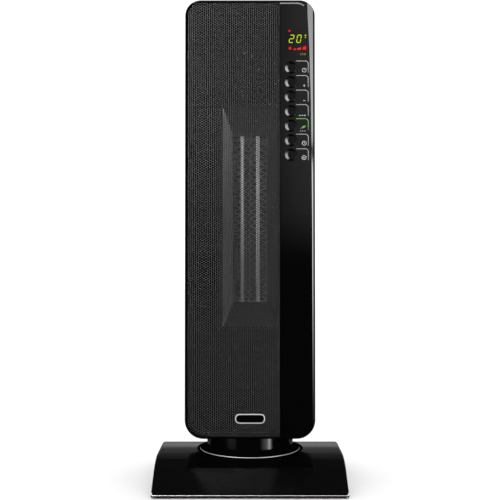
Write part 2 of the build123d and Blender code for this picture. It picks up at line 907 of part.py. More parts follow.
# Screws of the rear shell, in their wells
with BuildPart() as shell_screws:
    with BuildSketch(upright(back_y - screw_well_depth)):
        with Locations(*screw_post_places):
            Circle(screw_head_radius)
    extrude(amount=screw_head_height, dir=inward)
    with BuildSketch(upright(shank_end_y)):
        with Locations(*screw_post_places):
            Circle(screw_shank_radius)
    extrude(amount=screw_length, dir=inward)
shell_screws.part.label = "shell_screws"
export_step(shell_screws.part, "parts/shell_screws.step")

# Handle cup: open box that fills the grip hole and leaves room for the fingers
with BuildPart() as handle_cup:
    with BuildSketch(upright(back_y - handle_depth)):
        with Locations((0, handle_z)):
            RectangleRounded(handle_width, handle_height, handle_corner)
    extrude(amount=handle_depth, dir=inward)
    with BuildSketch(upright(back_y - handle_depth + handle_wall)):
        with Locations((0, handle_z)):
            RectangleRounded(
                handle_width - 2 * handle_wall, handle_height - 2 * handle_wall, handle_corner - handle_wall
            )
    extrude(amount=handle_depth, dir=inward, mode=Mode.SUBTRACT)
handle_cup.part.label = "handle_cup"
export_step(handle_cup.part, "parts/handle_cup.step")

# Filter cassette: louvred panel that fills the intake opening
louvre_pitch = (filter_height - 2 * filter_border + louvre_bar) / louvre_count
louvre_gap = louvre_pitch - louvre_bar
slot_width = (filter_width - 2 * filter_border - filter_centre_bar) / 2
with BuildPart() as filter_frame:
    with BuildSketch(upright(inner_back_y)):
        with Locations((0, duct_z)):
            RectangleRounded(filter_width, filter_height, filter_corner)
    extrude(amount=wall, dir=inward)
    with BuildSketch(upright(inner_back_y)):
        with Locations((0, duct_z)):
            with GridLocations(slot_width + filter_centre_bar, louvre_pitch, 2, louvre_count):
                Rectangle(slot_width, louvre_gap)
    extrude(amount=wall, dir=inward, mode=Mode.SUBTRACT)
filter_frame.part.label = "filter_frame"
export_step(filter_frame.part, "parts/filter_frame.step")

# Filter cloth on the inside of the cassette
with BuildPart() as filter_cloth_piece:
    with BuildSketch(upright(inner_back_y)):
        with Locations((0, duct_z)):
            Rectangle(filter_width - 2 * filter_cloth_inset, filter_height - 2 * filter_cloth_inset)
    extrude(amount=filter_cloth)
filter_cloth_piece.part.label = "filter_cloth"
export_step(filter_cloth_piece.part, "parts/filter_cloth.step")

# Rocker bezel: sleeve with a flange round the mains rocker
with BuildPart() as rocker_bezel:
    with BuildSketch(upright(back_y - bezel_depth)):
        with Locations((rocker_x, rocker_z)):
            Rectangle(bezel_width, bezel_height)
    extrude(amount=bezel_depth, dir=inward)
    with BuildSketch(upright(back_y)):
        with Locations((rocker_x, rocker_z)):
            Rectangle(bezel_width + 2 * bezel_flange, bezel_height + 2 * bezel_flange)
    extrude(amount=bezel_thickness, dir=inward)
    with BuildSketch(upright(back_y - rocker_floor)):
        with Locations((rocker_x, rocker_z)):
            Rectangle(rocker_width + 2 * moving_gap, rocker_height + 4 * moving_gap)
    extrude(amount=rocker_floor + bezel_thickness, dir=inward, mode=Mode.SUBTRACT)
rocker_bezel.part.label = "rocker_bezel"
export_step(rocker_bezel.part, "parts/rocker_bezel.step")

# Mains rocker, tilted to its off position about its cross axis
tilt = math.radians(rocker_tilt_deg)
rocker_pivot = (rocker_x, back_y - rocker_pivot_depth, rocker_z)
rocker_plane = Plane(
    origin=rocker_pivot, x_dir=(0, -math.sin(tilt), math.cos(tilt)), z_dir=(-1, 0, 0)
)
half_rocker = rocker_height / 2
rocker_rise = half_rocker * math.tan(tilt)
crown = rocker_pivot_depth + bezel_thickness - rocker_crown
with BuildPart() as mains_rocker:
    with BuildSketch(rocker_plane):
        with BuildLine():
            Polyline(
                (-half_rocker, crown + rocker_rise),
                (0, crown),
                (half_rocker, crown + rocker_rise),
                (half_rocker - rocker_rise, -rocker_depth),
                (-half_rocker + rocker_rise, -rocker_depth),
                close=True,
            )
        make_face()
    extrude(amount=rocker_width / 2, both=True)
mains_rocker.part.label = "mains_rocker"
export_step(mains_rocker.part, "parts/mains_rocker.step")

# Cord gland: flanged rubber sleeve with its bore
with BuildPart() as cord_gland:
    with BuildSketch(upright(inner_back_y - gland_tail)):
        with Locations((gland_x, gland_z)):
            Circle(gland_radius)
    extrude(amount=wall + gland_tail, dir=inward)
    with BuildSketch(upright(back_y)):
        with Locations((gland_x, gland_z)):
            Circle(gland_radius + gland_flange)
    extrude(amount=gland_flange_thickness, dir=inward)
    with BuildSketch(upright(inner_back_y - gland_tail)):
        with Locations((gland_x, gland_z)):
            Circle(gland_bore_radius)
    extrude(amount=body_depth, dir=inward, mode=Mode.SUBTRACT)
cord_gland.part.label = "cord_gland"
export_step(cord_gland.part, "parts/cord_gland.step")

# Tip-over switch on the tower's floor
with BuildPart() as tip_switch:
    with BuildSketch(Plane.XY.offset(body_bottom + wall)):
        with Locations((tilt_x, tilt_y)):
            Rectangle(tilt_width, tilt_depth)
    extrude(amount=tilt_height)
    chamfer(tip_switch.edges().group_by(Axis.Z)[-1], wall / 2)
tip_switch.part.label = "tip_switch"
export_step(tip_switch.part, "parts/tip_switch.step")


# Arch of the base: its sides turn by this angle, then run straight down to the lip
arch_run = (base_depth - arch_flat) / 2
arch_fall = base_top - base_rim - base_lip
lip_distance = math.hypot(arch_run, arch_radius - arch_fall)
arch_angle = math.atan2(arch_run, arch_radius - arch_fall) - math.acos(arch_radius / lip_distance)


def slope_y(z, inset):
    """Depth at which the straight slope, drawn inside its skin by inset, comes down to z."""
    radius = arch_radius - inset
    turn_z = base_top - arch_radius + radius * math.cos(arch_angle)
    return arch_flat / 2 + radius * math.sin(arch_angle) + (turn_z - z) / math.tan(arch_angle)


def arch_outline(inset):
    """Side outline of the base: flat crown, an arc and a straight slope on both sides."""
    crown_z = base_top - inset
    foot = slope_y(base_rim, inset)
    with BuildSketch() as outline:
        with BuildLine():
            crown = Line((-arch_flat / 2, crown_z), (arch_flat / 2, crown_z))
            front = JernArc(crown @ 0, (-1, 0), arch_radius - inset, math.degrees(arch_angle))
            back = JernArc(crown @ 1, (1, 0), arch_radius - inset, -math.degrees(arch_angle))
            Line(front @ 1, (-foot, base_rim))
            Line(back @ 1, (foot, base_rim))
            Line((-foot, base_rim), (foot, base_rim))
        make_face()
        Rectangle(base_depth, 2 * base_top, mode=Mode.INTERSECT)
    return outline.sketch


def arch_height(y, inset):
    """Height of the arch at depth y on one of its arcs, drawn inside its skin by inset."""
    run = max(0, abs(y) - arch_flat / 2)
    return base_top - arch_radius + math.sqrt((arch_radius - inset) ** 2 - run * run)


# Base shell: arched hood with a round seat for the neck and six screw posts
deck_z = base_top - base_wall
plate_top_z = base_rim + base_plate_thickness
gear_radius = gear_module * gear_teeth / 2
pinion_radius = gear_module * pinion_teeth / 2
pinion_y = gear_radius + pinion_radius
base_post_x = base_width / 2 - base_post_side_inset
base_post_y = base_depth / 2 - base_post_end_inset
side_posts = [(side * base_post_x, 0) for side in (-1, 1)]
corner_posts = [(i * base_post_x, j * base_post_y) for i in (-1, 1) for j in (-1, 1)]
with BuildPart() as base_shell:
    with BuildSketch(Plane.YZ):
        add(arch_outline(0))
    extrude(amount=base_width / 2, both=True)
    lip_edges = base_shell.edges().filter_by(Axis.X).group_by(Axis.Z)[1]
    fillet(lip_edges, base_lip_round)
    end_faces = base_shell.faces().filter_by(Axis.X)
    rim_edges = base_shell.edges().group_by(Axis.Z)[0]
    fillet(end_faces.edges() - rim_edges, base_edge_radius)
    with Locations((0, 0, boss_foot_z)):
        Cone(
            boss_foot_radius,
            boss_radius,
            base_top - boss_foot_z,
            align=(Align.CENTER, Align.CENTER, Align.MIN),
        )
    with BuildSketch(Plane.YZ):
        add(arch_outline(base_wall))
    extrude(amount=base_width / 2 - base_wall, both=True, mode=Mode.SUBTRACT)
    with BuildSketch(Plane.XY.offset(base_rim)):
        Circle(pocket_radius)
    extrude(amount=deck_z - base_rim, mode=Mode.SUBTRACT)
    with BuildSketch(Plane.XY.offset(plate_top_z)):
        with Locations(*side_posts):
            Circle(base_post_radius)
    extrude(amount=base_top - base_wall / 2 - plate_top_z)
    with BuildSketch(Plane.XY.offset(plate_top_z)):
        with Locations(*corner_posts):
            Circle(base_post_radius)
    extrude(amount=arch_height(base_post_y + base_post_radius, base_wall / 2) - plate_top_z)
    with BuildSketch(Plane.XY.offset(plate_top_z)):
        with Locations(*side_posts, *corner_posts):
            Circle(screw_shank_radius + slip_gap)
    extrude(amount=screw_length, mode=Mode.SUBTRACT)
    with BuildSketch(Plane.XY.offset(deck_z)):
        Circle(wire_hole_radius)
        with Locations((0, pinion_y)):
            Circle(motor_nose_radius + slip_gap)
    extrude(amount=base_wall, mode=Mode.SUBTRACT)
base_shell.part.label = "base_shell"
export_step(base_shell.part, "parts/base_shell.step")

# Base plate with sunk screw holes
plate_width = base_width - 2 * base_wall - 2 * slip_gap
plate_half_depth = slope_y(plate_top_z, base_wall) - slip_gap
screw_sink_depth = base_plate_thickness * 2 / 3
with BuildPart() as base_plate:
    with BuildSketch(Plane.XY.offset(base_rim)):
        Rectangle(plate_width, 2 * plate_half_depth)
    extrude(amount=base_plate_thickness)
    with BuildSketch(Plane.XY.offset(base_rim)):
        with Locations(*side_posts, *corner_posts):
            Circle(screw_shank_radius + slip_gap)
    extrude(amount=base_plate_thickness, mode=Mode.SUBTRACT)
    with BuildSketch(Plane.XY.offset(base_rim)):
        with Locations(*side_posts, *corner_posts):
            Circle(screw_well_radius)
    extrude(amount=screw_sink_depth, mode=Mode.SUBTRACT)
base_plate.part.label = "base_plate"
export_step(base_plate.part, "parts/base_plate.step")

# Screws of the base plate
with BuildPart() as base_screws:
    with BuildSketch(Plane.XY.offset(base_rim)):
        with Locations(*side_posts, *corner_posts):
            Circle(screw_head_radius)
    extrude(amount=screw_sink_depth)
    with BuildSketch(Plane.XY.offset(base_rim)):
        with Locations(*side_posts, *corner_posts):
            Circle(screw_shank_radius)
    extrude(amount=screw_length)
base_screws.part.label = "base_screws"
export_step(base_screws.part, "parts/base_screws.step")

# Rubber feet
foot_x = base_width / 2 - foot_side_inset
foot_y = base_depth / 2 - foot_end_inset
foot_sides = {"front_left": (-1, -1), "front_right": (1, -1), "back_left": (-1, 1), "back_right": (1, 1)}
for name, (i, j) in foot_sides.items():
    with BuildPart() as rubber_foot:
        with BuildSketch(Plane.XY):
            with Locations((i * foot_x, j * foot_y)):
                Circle(foot_radius)
        extrude(amount=base_rim)
        chamfer(rubber_foot.edges().group_by(Axis.Z)[0], foot_chamfer)
    rubber_foot.part.label = f"foot_{name}"
    export_step(rubber_foot.part, f"parts/foot_{name}.step")

# Pivot post: hollow post on the deck, stepped at its top for the retaining ring
hub_top_z = body_bottom
post_shoulder_z = hub_top_z + moving_gap
with BuildPart() as pivot_post:
    with BuildSketch(Plane.XY.offset(base_top)):
        Circle(post_flange_radius)
    extrude(amount=post_flange)
    with BuildSketch(Plane.XY.offset(base_top)):
        Circle(post_radius)
    extrude(amount=post_shoulder_z - base_top)
    with BuildSketch(Plane.XY.offset(post_shoulder_z)):
        Circle(post_neck_radius)
    extrude(amount=post_neck_height)
    with BuildSketch(Plane.XY.offset(base_top)):
        Circle(post_bore_radius)
    extrude(amount=body_height, mode=Mode.SUBTRACT)
pivot_post.part.label = "pivot_post"
export_step(pivot_post.part, "parts/pivot_post.step")

# Retaining ring on the post's shoulder
with BuildPart() as retaining_ring:
    with BuildSketch(Plane.XY.offset(post_shoulder_z)):
        Circle(retainer_radius)
        Circle(post_neck_radius + slip_gap, mode=Mode.SUBTRACT)
    extrude(amount=retainer_height)
retaining_ring.part.label = "retaining_ring"
export_step(retaining_ring.part, "parts/retaining_ring.step")

# Glide ring under the neck's track
with BuildPart() as glide_ring:
    with BuildSketch(Plane.XY.offset(base_top)):
        Circle(glide_outer_radius)
        Circle(glide_inner_radius, mode=Mode.SUBTRACT)
    extrude(amount=glide_height)
glide_ring.part.label = "glide_ring"
export_step(glide_ring.part, "parts/glide_ring.step")

# Neck: round wall with a flared collar, a closing disc, a hub and a track over the glide ring
collar_z = base_top + moving_gap
track_z = base_top + glide_height + moving_gap
neck_inner = neck_radius - neck_wall
flare = (collar_height - collar_lip) / 4
with BuildPart() as neck:
    with BuildSketch(Plane.XZ):
        with BuildLine():
            lip = Polyline(
                (neck_inner, collar_z), (collar_radius, collar_z), (collar_radius, collar_z + collar_lip)
            )
            collar = ThreePointArc(
                lip @ 1,
                (neck_radius + (collar_radius - neck_radius) / 3, collar_z + collar_lip + flare),
                (neck_radius, collar_z + collar_height),
            )
            Polyline(
                collar @ 1,
                (neck_radius, body_bottom),
                (post_radius + running_gap, body_bottom),
                (post_radius + running_gap, body_bottom - neck_disc - hub_height),
                (hub_radius, body_bottom - neck_disc - hub_height),
                (hub_radius, body_bottom - neck_disc),
                (neck_inner, body_bottom - neck_disc),
                (neck_inner, track_z + track_height),
                (track_inner_radius, track_z + track_height),
                (track_inner_radius, track_z),
                (neck_inner, track_z),
                (neck_inner, collar_z),
            )
        make_face()
    revolve(axis=Axis.Z)
neck.part.label = "neck"
export_step(neck.part, "parts/neck.step")

# Screws that hold the neck under the tower's floor
with BuildPart() as neck_screws:
    with BuildSketch(Plane.XY.offset(body_bottom + wall)):
        with PolarLocations(neck_screw_ring_radius, 4, start_angle=45):
            Circle(screw_head_radius)
    extrude(amount=screw_head_height)
neck_screws.part.label = "neck_screws"
export_step(neck_screws.part, "parts/neck_screws.step")


def tooth_points(teeth, centre_deg):
    """Flank points of one tooth, from root to tip and back, on involute widths."""
    pitch_radius = gear_module * teeth / 2
    base_radius = pitch_radius * math.cos(math.radians(pressure_angle_deg))
    pressure = math.radians(pressure_angle_deg)
    pitch_half = (math.pi * gear_module / 2 - tooth_backlash) / 2 / pitch_radius
    reaches = (pitch_radius - tooth_dedendum, pitch_radius, pitch_radius + tooth_addendum)
    flank = []
    for reach in reaches:
        angle = math.acos(min(1, base_radius / reach))
        turn = math.tan(pressure) - pressure - math.tan(angle) + angle
        flank.append((reach, pitch_half + turn))
    centre = math.radians(centre_deg)
    rising = [(r * math.cos(centre - h), r * math.sin(centre - h)) for r, h in flank]
    falling = [(r * math.cos(centre + h), r * math.sin(centre + h)) for r, h in reversed(flank)]
    return rising + falling


# Swing gear: toothed sector round the neck's hub
gear_top_z = body_bottom - neck_disc - hub_height
gear_foot_z = gear_top_z - gear_height
gear_step_deg = 360 / gear_teeth
gear_points = []
for k in range(-gear_side_teeth, gear_side_teeth + 1):
    gear_points += tooth_points(gear_teeth, 90 + k * gear_step_deg)
with BuildPart() as swing_gear:
    with BuildSketch(Plane.XY.offset(gear_foot_z)):
        with BuildLine():
            Polyline((0, 0), *gear_points, close=True)
        make_face()
        Circle(hub_radius)
        Circle(post_radius + running_gap, mode=Mode.SUBTRACT)
    extrude(amount=gear_height)
swing_gear.part.label = "swing_gear"
export_step(swing_gear.part, "parts/swing_gear.step")

# Drive pinion on its shaft
pinion_step_deg = 360 / pinion_teeth
pinion_points = []
for k in range(pinion_teeth):
    pinion_points += tooth_points(pinion_teeth, -90 + (k + 0.5) * pinion_step_deg)
with BuildPart() as drive_pinion:
    with BuildSketch(Plane(origin=(0, pinion_y, gear_foot_z))):
        with BuildLine():
            Polyline(*pinion_points, close=True)
        make_face()
    extrude(amount=gear_height)
    with BuildSketch(Plane(origin=(0, pinion_y, base_top - pinion_shaft_depth))):
        Circle(pinion_shaft_radius)
    extrude(amount=gear_foot_z - base_top + pinion_shaft_depth)
drive_pinion.part.label = "drive_pinion"
export_step(drive_pinion.part, "parts/drive_pinion.step")

# Swing motor under the deck, its nose through the deck
with BuildPart() as swing_motor:
    with BuildSketch(Plane.XY.offset(deck_z - swing_motor_height)):
        with Locations((0, swing_motor_y)):
            Circle(swing_motor_radius)
    extrude(amount=swing_motor_height)
    with BuildSketch(Plane.XY.offset(deck_z)):
        with Locations((0, pinion_y)):
            Circle(motor_nose_radius)
    extrude(amount=base_wall)
    with BuildSketch(Plane.XY.offset(base_top - pinion_shaft_depth - moving_gap)):
        with Locations((0, pinion_y)):
            Circle(pinion_shaft_radius + running_gap)
    extrude(amount=pinion_shaft_depth + moving_gap, mode=Mode.SUBTRACT)
swing_motor.part.label = "swing_motor"
export_step(swing_motor.part, "parts/swing_motor.step")
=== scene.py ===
# %% [markdown]
# # Dressing a tower heater
# The CAD model gives every piece its place and its movement.
# This lesson gives the pieces their looks: paint, polish, a fine grille, a lit display
# and printed marks.
# The CAD comes in first as a fixed frame, and its box is measured before anything is added.

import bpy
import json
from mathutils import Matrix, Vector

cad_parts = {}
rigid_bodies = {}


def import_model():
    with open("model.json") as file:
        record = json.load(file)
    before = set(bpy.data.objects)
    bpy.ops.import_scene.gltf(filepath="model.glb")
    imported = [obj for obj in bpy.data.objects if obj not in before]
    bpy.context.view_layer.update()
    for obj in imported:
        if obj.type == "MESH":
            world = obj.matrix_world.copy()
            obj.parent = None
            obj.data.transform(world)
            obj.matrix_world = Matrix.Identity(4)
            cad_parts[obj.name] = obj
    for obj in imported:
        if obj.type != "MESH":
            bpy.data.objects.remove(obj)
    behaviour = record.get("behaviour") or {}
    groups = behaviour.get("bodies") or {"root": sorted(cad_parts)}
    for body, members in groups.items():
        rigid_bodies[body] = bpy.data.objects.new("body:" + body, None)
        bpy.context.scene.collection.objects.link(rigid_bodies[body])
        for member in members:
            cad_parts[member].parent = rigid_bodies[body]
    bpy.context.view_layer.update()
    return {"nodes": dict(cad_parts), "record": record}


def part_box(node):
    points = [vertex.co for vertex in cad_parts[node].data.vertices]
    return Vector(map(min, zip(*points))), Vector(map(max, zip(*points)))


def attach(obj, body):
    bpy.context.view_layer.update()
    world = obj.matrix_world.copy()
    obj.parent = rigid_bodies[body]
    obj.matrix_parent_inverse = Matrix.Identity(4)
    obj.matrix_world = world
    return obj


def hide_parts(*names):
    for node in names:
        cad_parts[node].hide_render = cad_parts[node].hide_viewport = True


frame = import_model()

# %% [markdown]
# Shapes are drawn in bmesh, the mesh tools that Blender gives to scripts.
# Lengths are written in millimetres, and one factor turns them into Blender's metres.

# %% Tools of the lesson
import json
import math

import bmesh
import bpy
from bmesh.types import BMEdge, BMVert
from mathutils import Matrix, Vector

mm = 0.001
right_angle = math.radians(90)

# %% [markdown]
# The photo is taken from a little over a metre, about 27 cm above the table.
# A long lens looks slightly upwards, so the tower's sides stay almost upright.
# The picture is square, so the lens alone sets how large the heater is in it.

# %% Camera
camera = bpy.data.objects.new("camera", bpy.data.cameras.new("camera"))
bpy.context.scene.collection.objects.link(camera)
camera.data.sensor_width = 36.0
camera.data.lens = 60.78
camera.location = (0.0, -1.0945, 0.2731)
camera.rotation_euler = (math.radians(91.06), 0.0, 0.0)
bpy.context.scene.camera = camera
print("lens", camera.data.lens, "mm")

# %% [markdown]
# A product studio has a pale floor that fades into a pale wall, so the heater stands in even
# white light. Gloss black shows little but reflections, so the panels that it mirrors matter
# more than the light that falls on it. The sky lights the floor and stays out of the gloss,
# so only the panels show there.

# %% Floor and even light
scene = bpy.context.scene
scene.view_settings.view_transform = "Standard"
sky = bpy.data.worlds.new("studio_sky")
scene.world = sky
sky.use_nodes = True
sky.node_tree.nodes["Background"].inputs["Color"].default_value = (1.0, 1.0, 1.0, 1.0)
sky.node_tree.nodes["Background"].inputs["Strength"].default_value = 1.3
sky.cycles_visibility.glossy = False

floor_form = bmesh.new()
bmesh.ops.create_grid(floor_form, x_segments=1, y_segments=1, size=9.0)
floor_mesh = bpy.data.meshes.new("floor")
floor_form.to_mesh(floor_mesh)
floor_form.free()
floor = bpy.data.objects.new("floor", floor_mesh)
scene.collection.objects.link(floor)
floor.visible_glossy = False
floor_paint = bpy.data.materials.new("floor_paint")
floor_paint.use_nodes = True
floor_shader = floor_paint.node_tree.nodes["Principled BSDF"]
floor_shader.inputs["Base Color"].default_value = (0.9, 0.9, 0.9, 1.0)
floor_shader.inputs["Roughness"].default_value = 0.9
floor_shader.inputs["Specular IOR Level"].default_value = 0.0
floor.data.materials.append(floor_paint)
print("floor", tuple(floor.dimensions))


# %% [markdown]
# Each panel is a plane that glows more in some places than in others, like cloth lit by one lamp.
# A soft edge matters: it makes the reflections fade, as they do along the photo's fascia.
# The panels are stage. They show only in gloss and light nothing else.

# %% Helper for studio panels
def blend(points, at):
    """Value at a place, read off a line through (place, value) points"""
    for (low, first), (high, second) in zip(points, points[1:]):
        if at <= high:
            return first + (second - first) * max(0.0, at - low) / (high - low)
    return points[-1][1]


def panel(name, centre, target, width, height, up_glow, across_share):
    """Glowing plane that faces a target. up_glow: (height in metres, radiance) points,
    across_share: (share of the width seen from the camera, share of the glow) points"""
    form = bmesh.new()
    bmesh.ops.create_grid(form, x_segments=40, y_segments=40, size=0.5)
    glow_layer = form.verts.layers.float.new("glow")
    for corner in form.verts:
        up = centre[2] + corner.co.y * height
        corner[glow_layer] = blend(up_glow, up) * blend(across_share, 0.5 - corner.co.x)
    bmesh.ops.scale(form, vec=(width, height, 1.0), verts=form.verts)
    mesh = bpy.data.meshes.new(name)
    form.to_mesh(mesh)
    form.free()
    plane = bpy.data.objects.new(name, mesh)
    plane.location = centre
    plane.rotation_mode = "QUATERNION"
    plane.rotation_quaternion = (Vector(target) - Vector(centre)).to_track_quat("Z", "Y")
    scene.collection.objects.link(plane)
    cloth = bpy.data.materials.new(name + "_glow")
    cloth.use_nodes = True
    cloth.node_tree.nodes.remove(cloth.node_tree.nodes["Principled BSDF"])
    glow = cloth.node_tree.nodes.new("ShaderNodeEmission")
    share = cloth.node_tree.nodes.new("ShaderNodeAttribute")
    share.attribute_name = "glow"
    cloth.node_tree.links.new(share.outputs["Fac"], glow.inputs["Strength"])
    cloth.node_tree.links.new(glow.outputs[0],
                              cloth.node_tree.nodes["Material Output"].inputs["Surface"])
    plane.data.materials.append(cloth)
    for seen_by in ("camera", "diffuse", "transmission", "shadow"):
        setattr(plane, "visible_" + seen_by, False)


# %% [markdown]
# The wall behind the heater gives the base its soft grey crown, and fades upwards to near black.
# The wall behind the camera lights the upper half of the fascia, more on its right.
# Softboxes beside the camera draw the bright lines: the two on the left light the bevel,
# and those on the right the scoops of the keys and the neck.
# A high one at the upper left is seen only by steep slopes, so it sparkles in the grille's strands.
# A faint ceiling keeps what faces up from turning fully black.

# %% Place the panels
front_y = -0.058
bevel_x = 0.078
keys_x = 0.05

panel("back_panel", (0.0, 2.0, 1.3), (0.0, 0.0, 1.3), 5.0, 2.6,
      [(0.0, 0.25), (0.3, 0.36), (0.46, 0.5), (0.6, 0.46), (0.72, 0.24), (0.85, 0.15),
       (1.5, 0.12), (2.6, 0.09)],
      [(0.0, 0.7), (0.5, 1.0), (1.0, 0.5)])
panel("top_panel", (0.0, 0.2, 3.0), (0.0, 0.21, 0.0), 5.0, 4.0, [(3.0, 0.04)], [(1.0, 1.0)])
panel("front_panel", (0.2, -2.4, 1.05), (0.2, 0.0, 1.05), 1.6, 1.7,
      [(0.31, 0.0), (0.4, 0.13), (0.5, 0.32), (0.7, 0.42), (1.3, 0.45), (1.9, 0.5)],
      [(0.0, 0.0), (0.35, 0.5), (0.45, 0.55), (0.51, 1.2), (0.8, 1.5), (1.0, 0.0)])
panel("upper_left_panel", (-0.51, -1.22, 0.94), (bevel_x, front_y, 0.94), 0.7, 0.66,
      [(0.61, 13.0), (0.75, 10.0), (0.95, 8.0), (1.3, 6.0)], [(0.0, 0.6), (0.15, 1.0), (1.0, 1.0)])
panel("far_left_panel", (-0.96, -0.84, 0.25), (bevel_x, front_y, 0.25), 0.55, 0.92,
      [(-0.2, 0.0), (-0.1, 1.4), (0.0, 5.5), (0.19, 14.0), (0.47, 16.0), (0.6, 14.0), (0.71, 12.0)],
      [(0.0, 0.4), (0.15, 1.0), (1.0, 1.0)])
panel("right_panel", (1.05, -0.9, 1.0), (keys_x, front_y, 1.0), 0.34, 2.8,
      [(-0.4, 5.0), (-0.1, 8.0), (0.25, 14.0), (0.6, 20.0), (1.1, 23.0), (1.6, 23.0),
       (2.0, 14.0), (2.4, 3.0)],
      [(0.0, 0.0), (0.3, 0.9), (0.75, 1.0), (1.0, 0.4)])
panel("low_panel", (0.95, -1.0, -0.24), (0.0, 0.0, -0.24), 0.8, 0.32,
      [(-0.4, 2.0), (-0.2, 2.6), (-0.08, 1.5)],
      [(0.0, 0.0), (0.4, 0.5), (0.75, 1.0), (0.9, 0.7), (1.0, 0.0)])
panel("high_panel", (-0.6, -1.3, 1.75), (-0.03, front_y, 0.5), 0.8, 0.5, [(3.0, 26.0)],
      [(0.0, 0.2), (0.3, 1.0), (0.7, 1.0), (1.0, 0.2)])


# %% [markdown]
# A finish starts as one shader with a base colour, a roughness and a metal share.
# On top come patterns in Object coordinates: soft stains in the polish, fine grain
# in the moulding, brushed lines. What is the same all over a surface stays a plain number.
# A few small helpers make them all, so every finish of the heater is a few lines long.

# %% Helpers for finishes
def new_finish(name, colour, roughness, metal=0.0, gloss=0.5):
    """Starts a finish. Returns the material, its shader and its Object coordinates"""
    material = bpy.data.materials.new(name)
    material.use_nodes = True
    shader = material.node_tree.nodes["Principled BSDF"]
    shader.inputs["Base Color"].default_value = (*colour, 1.0)
    shader.inputs["Roughness"].default_value = roughness
    shader.inputs["Metallic"].default_value = metal
    shader.inputs["Specular IOR Level"].default_value = gloss
    places = material.node_tree.nodes.new("ShaderNodeTexCoord").outputs["Object"]
    return material, shader, places


def stretched(material, places, scale):
    """The same coordinates, packed tighter or looser along each axis"""
    mapping = material.node_tree.nodes.new("ShaderNodeMapping")
    mapping.inputs["Scale"].default_value = scale
    material.node_tree.links.new(places, mapping.inputs["Vector"])
    return mapping.outputs["Vector"]


def cloudy(material, places, scale, detail=4.0):
    """Noise from 0 to 1 with blobs about 1/scale metres wide"""
    noise = material.node_tree.nodes.new("ShaderNodeTexNoise")
    noise.inputs["Scale"].default_value = scale
    noise.inputs["Detail"].default_value = detail
    material.node_tree.links.new(places, noise.inputs["Vector"])
    return noise.outputs["Fac"]


def between(material, share, low, high, start=0.3, end=0.7):
    """Turns a share between start and end into a number between low and high"""
    ramp = material.node_tree.nodes.new("ShaderNodeMapRange")
    ramp.inputs["From Min"].default_value = start
    ramp.inputs["From Max"].default_value = end
    ramp.inputs["To Min"].default_value = low
    ramp.inputs["To Max"].default_value = high
    material.node_tree.links.new(share, ramp.inputs["Value"])
    return ramp.outputs["Result"]


def two_tones(material, shader, share, first, second, start=0.35, end=0.65):
    """Blends the base colour from the first tone to the second"""
    ramp = material.node_tree.nodes.new("ShaderNodeValToRGB")
    ramp.color_ramp.elements[0].position = start
    ramp.color_ramp.elements[0].color = (*first, 1.0)
    ramp.color_ramp.elements[1].position = end
    ramp.color_ramp.elements[1].color = (*second, 1.0)
    material.node_tree.links.new(share, ramp.inputs["Fac"])
    material.node_tree.links.new(ramp.outputs["Color"], shader.inputs["Base Color"])


def product_of(material, first, second):
    """Multiplies one pattern by another"""
    product = material.node_tree.nodes.new("ShaderNodeMath")
    product.operation = "MULTIPLY"
    material.node_tree.links.new(first, product.inputs[0])
    material.node_tree.links.new(second, product.inputs[1])
    return product.outputs[0]


def dulled(material, shader, share, low, high, start=0.3, end=0.7):
    """Lets the roughness follow a pattern"""
    material.node_tree.links.new(between(material, share, low, high, start, end),
                                 shader.inputs["Roughness"])


def relief(material, shader, height, depth, strength=1.0):
    """Raises the surface by up to depth metres where the height pattern is high"""
    bump = material.node_tree.nodes.new("ShaderNodeBump")
    bump.inputs["Distance"].default_value = depth
    bump.inputs["Strength"].default_value = strength
    material.node_tree.links.new(height, bump.inputs["Height"])
    for earlier in shader.inputs["Normal"].links:
        material.node_tree.links.new(earlier.from_socket, bump.inputs["Normal"])
    material.node_tree.links.new(bump.outputs["Normal"], shader.inputs["Normal"])


def polished(name, colour, roughness, stain, gloss=0.5):
    """Gloss plastic: faint orange peel, and wipe marks that dull it here and there"""
    material, shader, places = new_finish(name, colour, roughness, gloss=gloss)
    wipes = cloudy(material, stretched(material, places, (9.0, 9.0, 5.0)), 1.0, 8.0)
    dulled(material, shader, wipes, roughness, roughness + stain)
    relief(material, shader, cloudy(material, places, 160.0, 1.0), 0.002 * mm)
    return material


def gloss_only(material, shader, value, low, high, fade=0.4 * mm):
    """Keeps the gloss where a value lies between low and high, and takes it away outside"""
    socket = shader.inputs["Specular IOR Level"]
    share = product_of(material, between(material, value, 0.0, 0.5, low - fade, low),
                       between(material, value, 1.0, 0.0, high, high + fade))
    for earlier in socket.links:
        share = product_of(material, share,
                           between(material, earlier.from_socket, 0.0, 1.0, 0.0, 0.5))
    material.node_tree.links.new(share, socket)


def axis_of(material, places, axis):
    """One coordinate on its own"""
    split = material.node_tree.nodes.new("ShaderNodeSeparateXYZ")
    material.node_tree.links.new(places, split.inputs[0])
    return split.outputs[axis]


def from_swing_axis(material, places):
    """Distance from the upright axis of the swing"""
    length = material.node_tree.nodes.new("ShaderNodeVectorMath")
    length.operation = "LENGTH"
    material.node_tree.links.new(stretched(material, places, (1.0, 1.0, 0.0)), length.inputs[0])
    return length.outputs["Value"]


def moulded(name, dark, light, roughness, grain):
    """Matt plastic with the fine spark-eroded grain of its mould"""
    material, shader, places = new_finish(name, light, roughness)
    speckle = cloudy(material, places, 1.0 / grain, 6.0)
    two_tones(material, shader, speckle, dark, light)
    dulled(material, shader, cloudy(material, places, 40.0), roughness, roughness + 0.07)
    relief(material, shader, speckle, 0.06 * mm, 0.5)
    return material


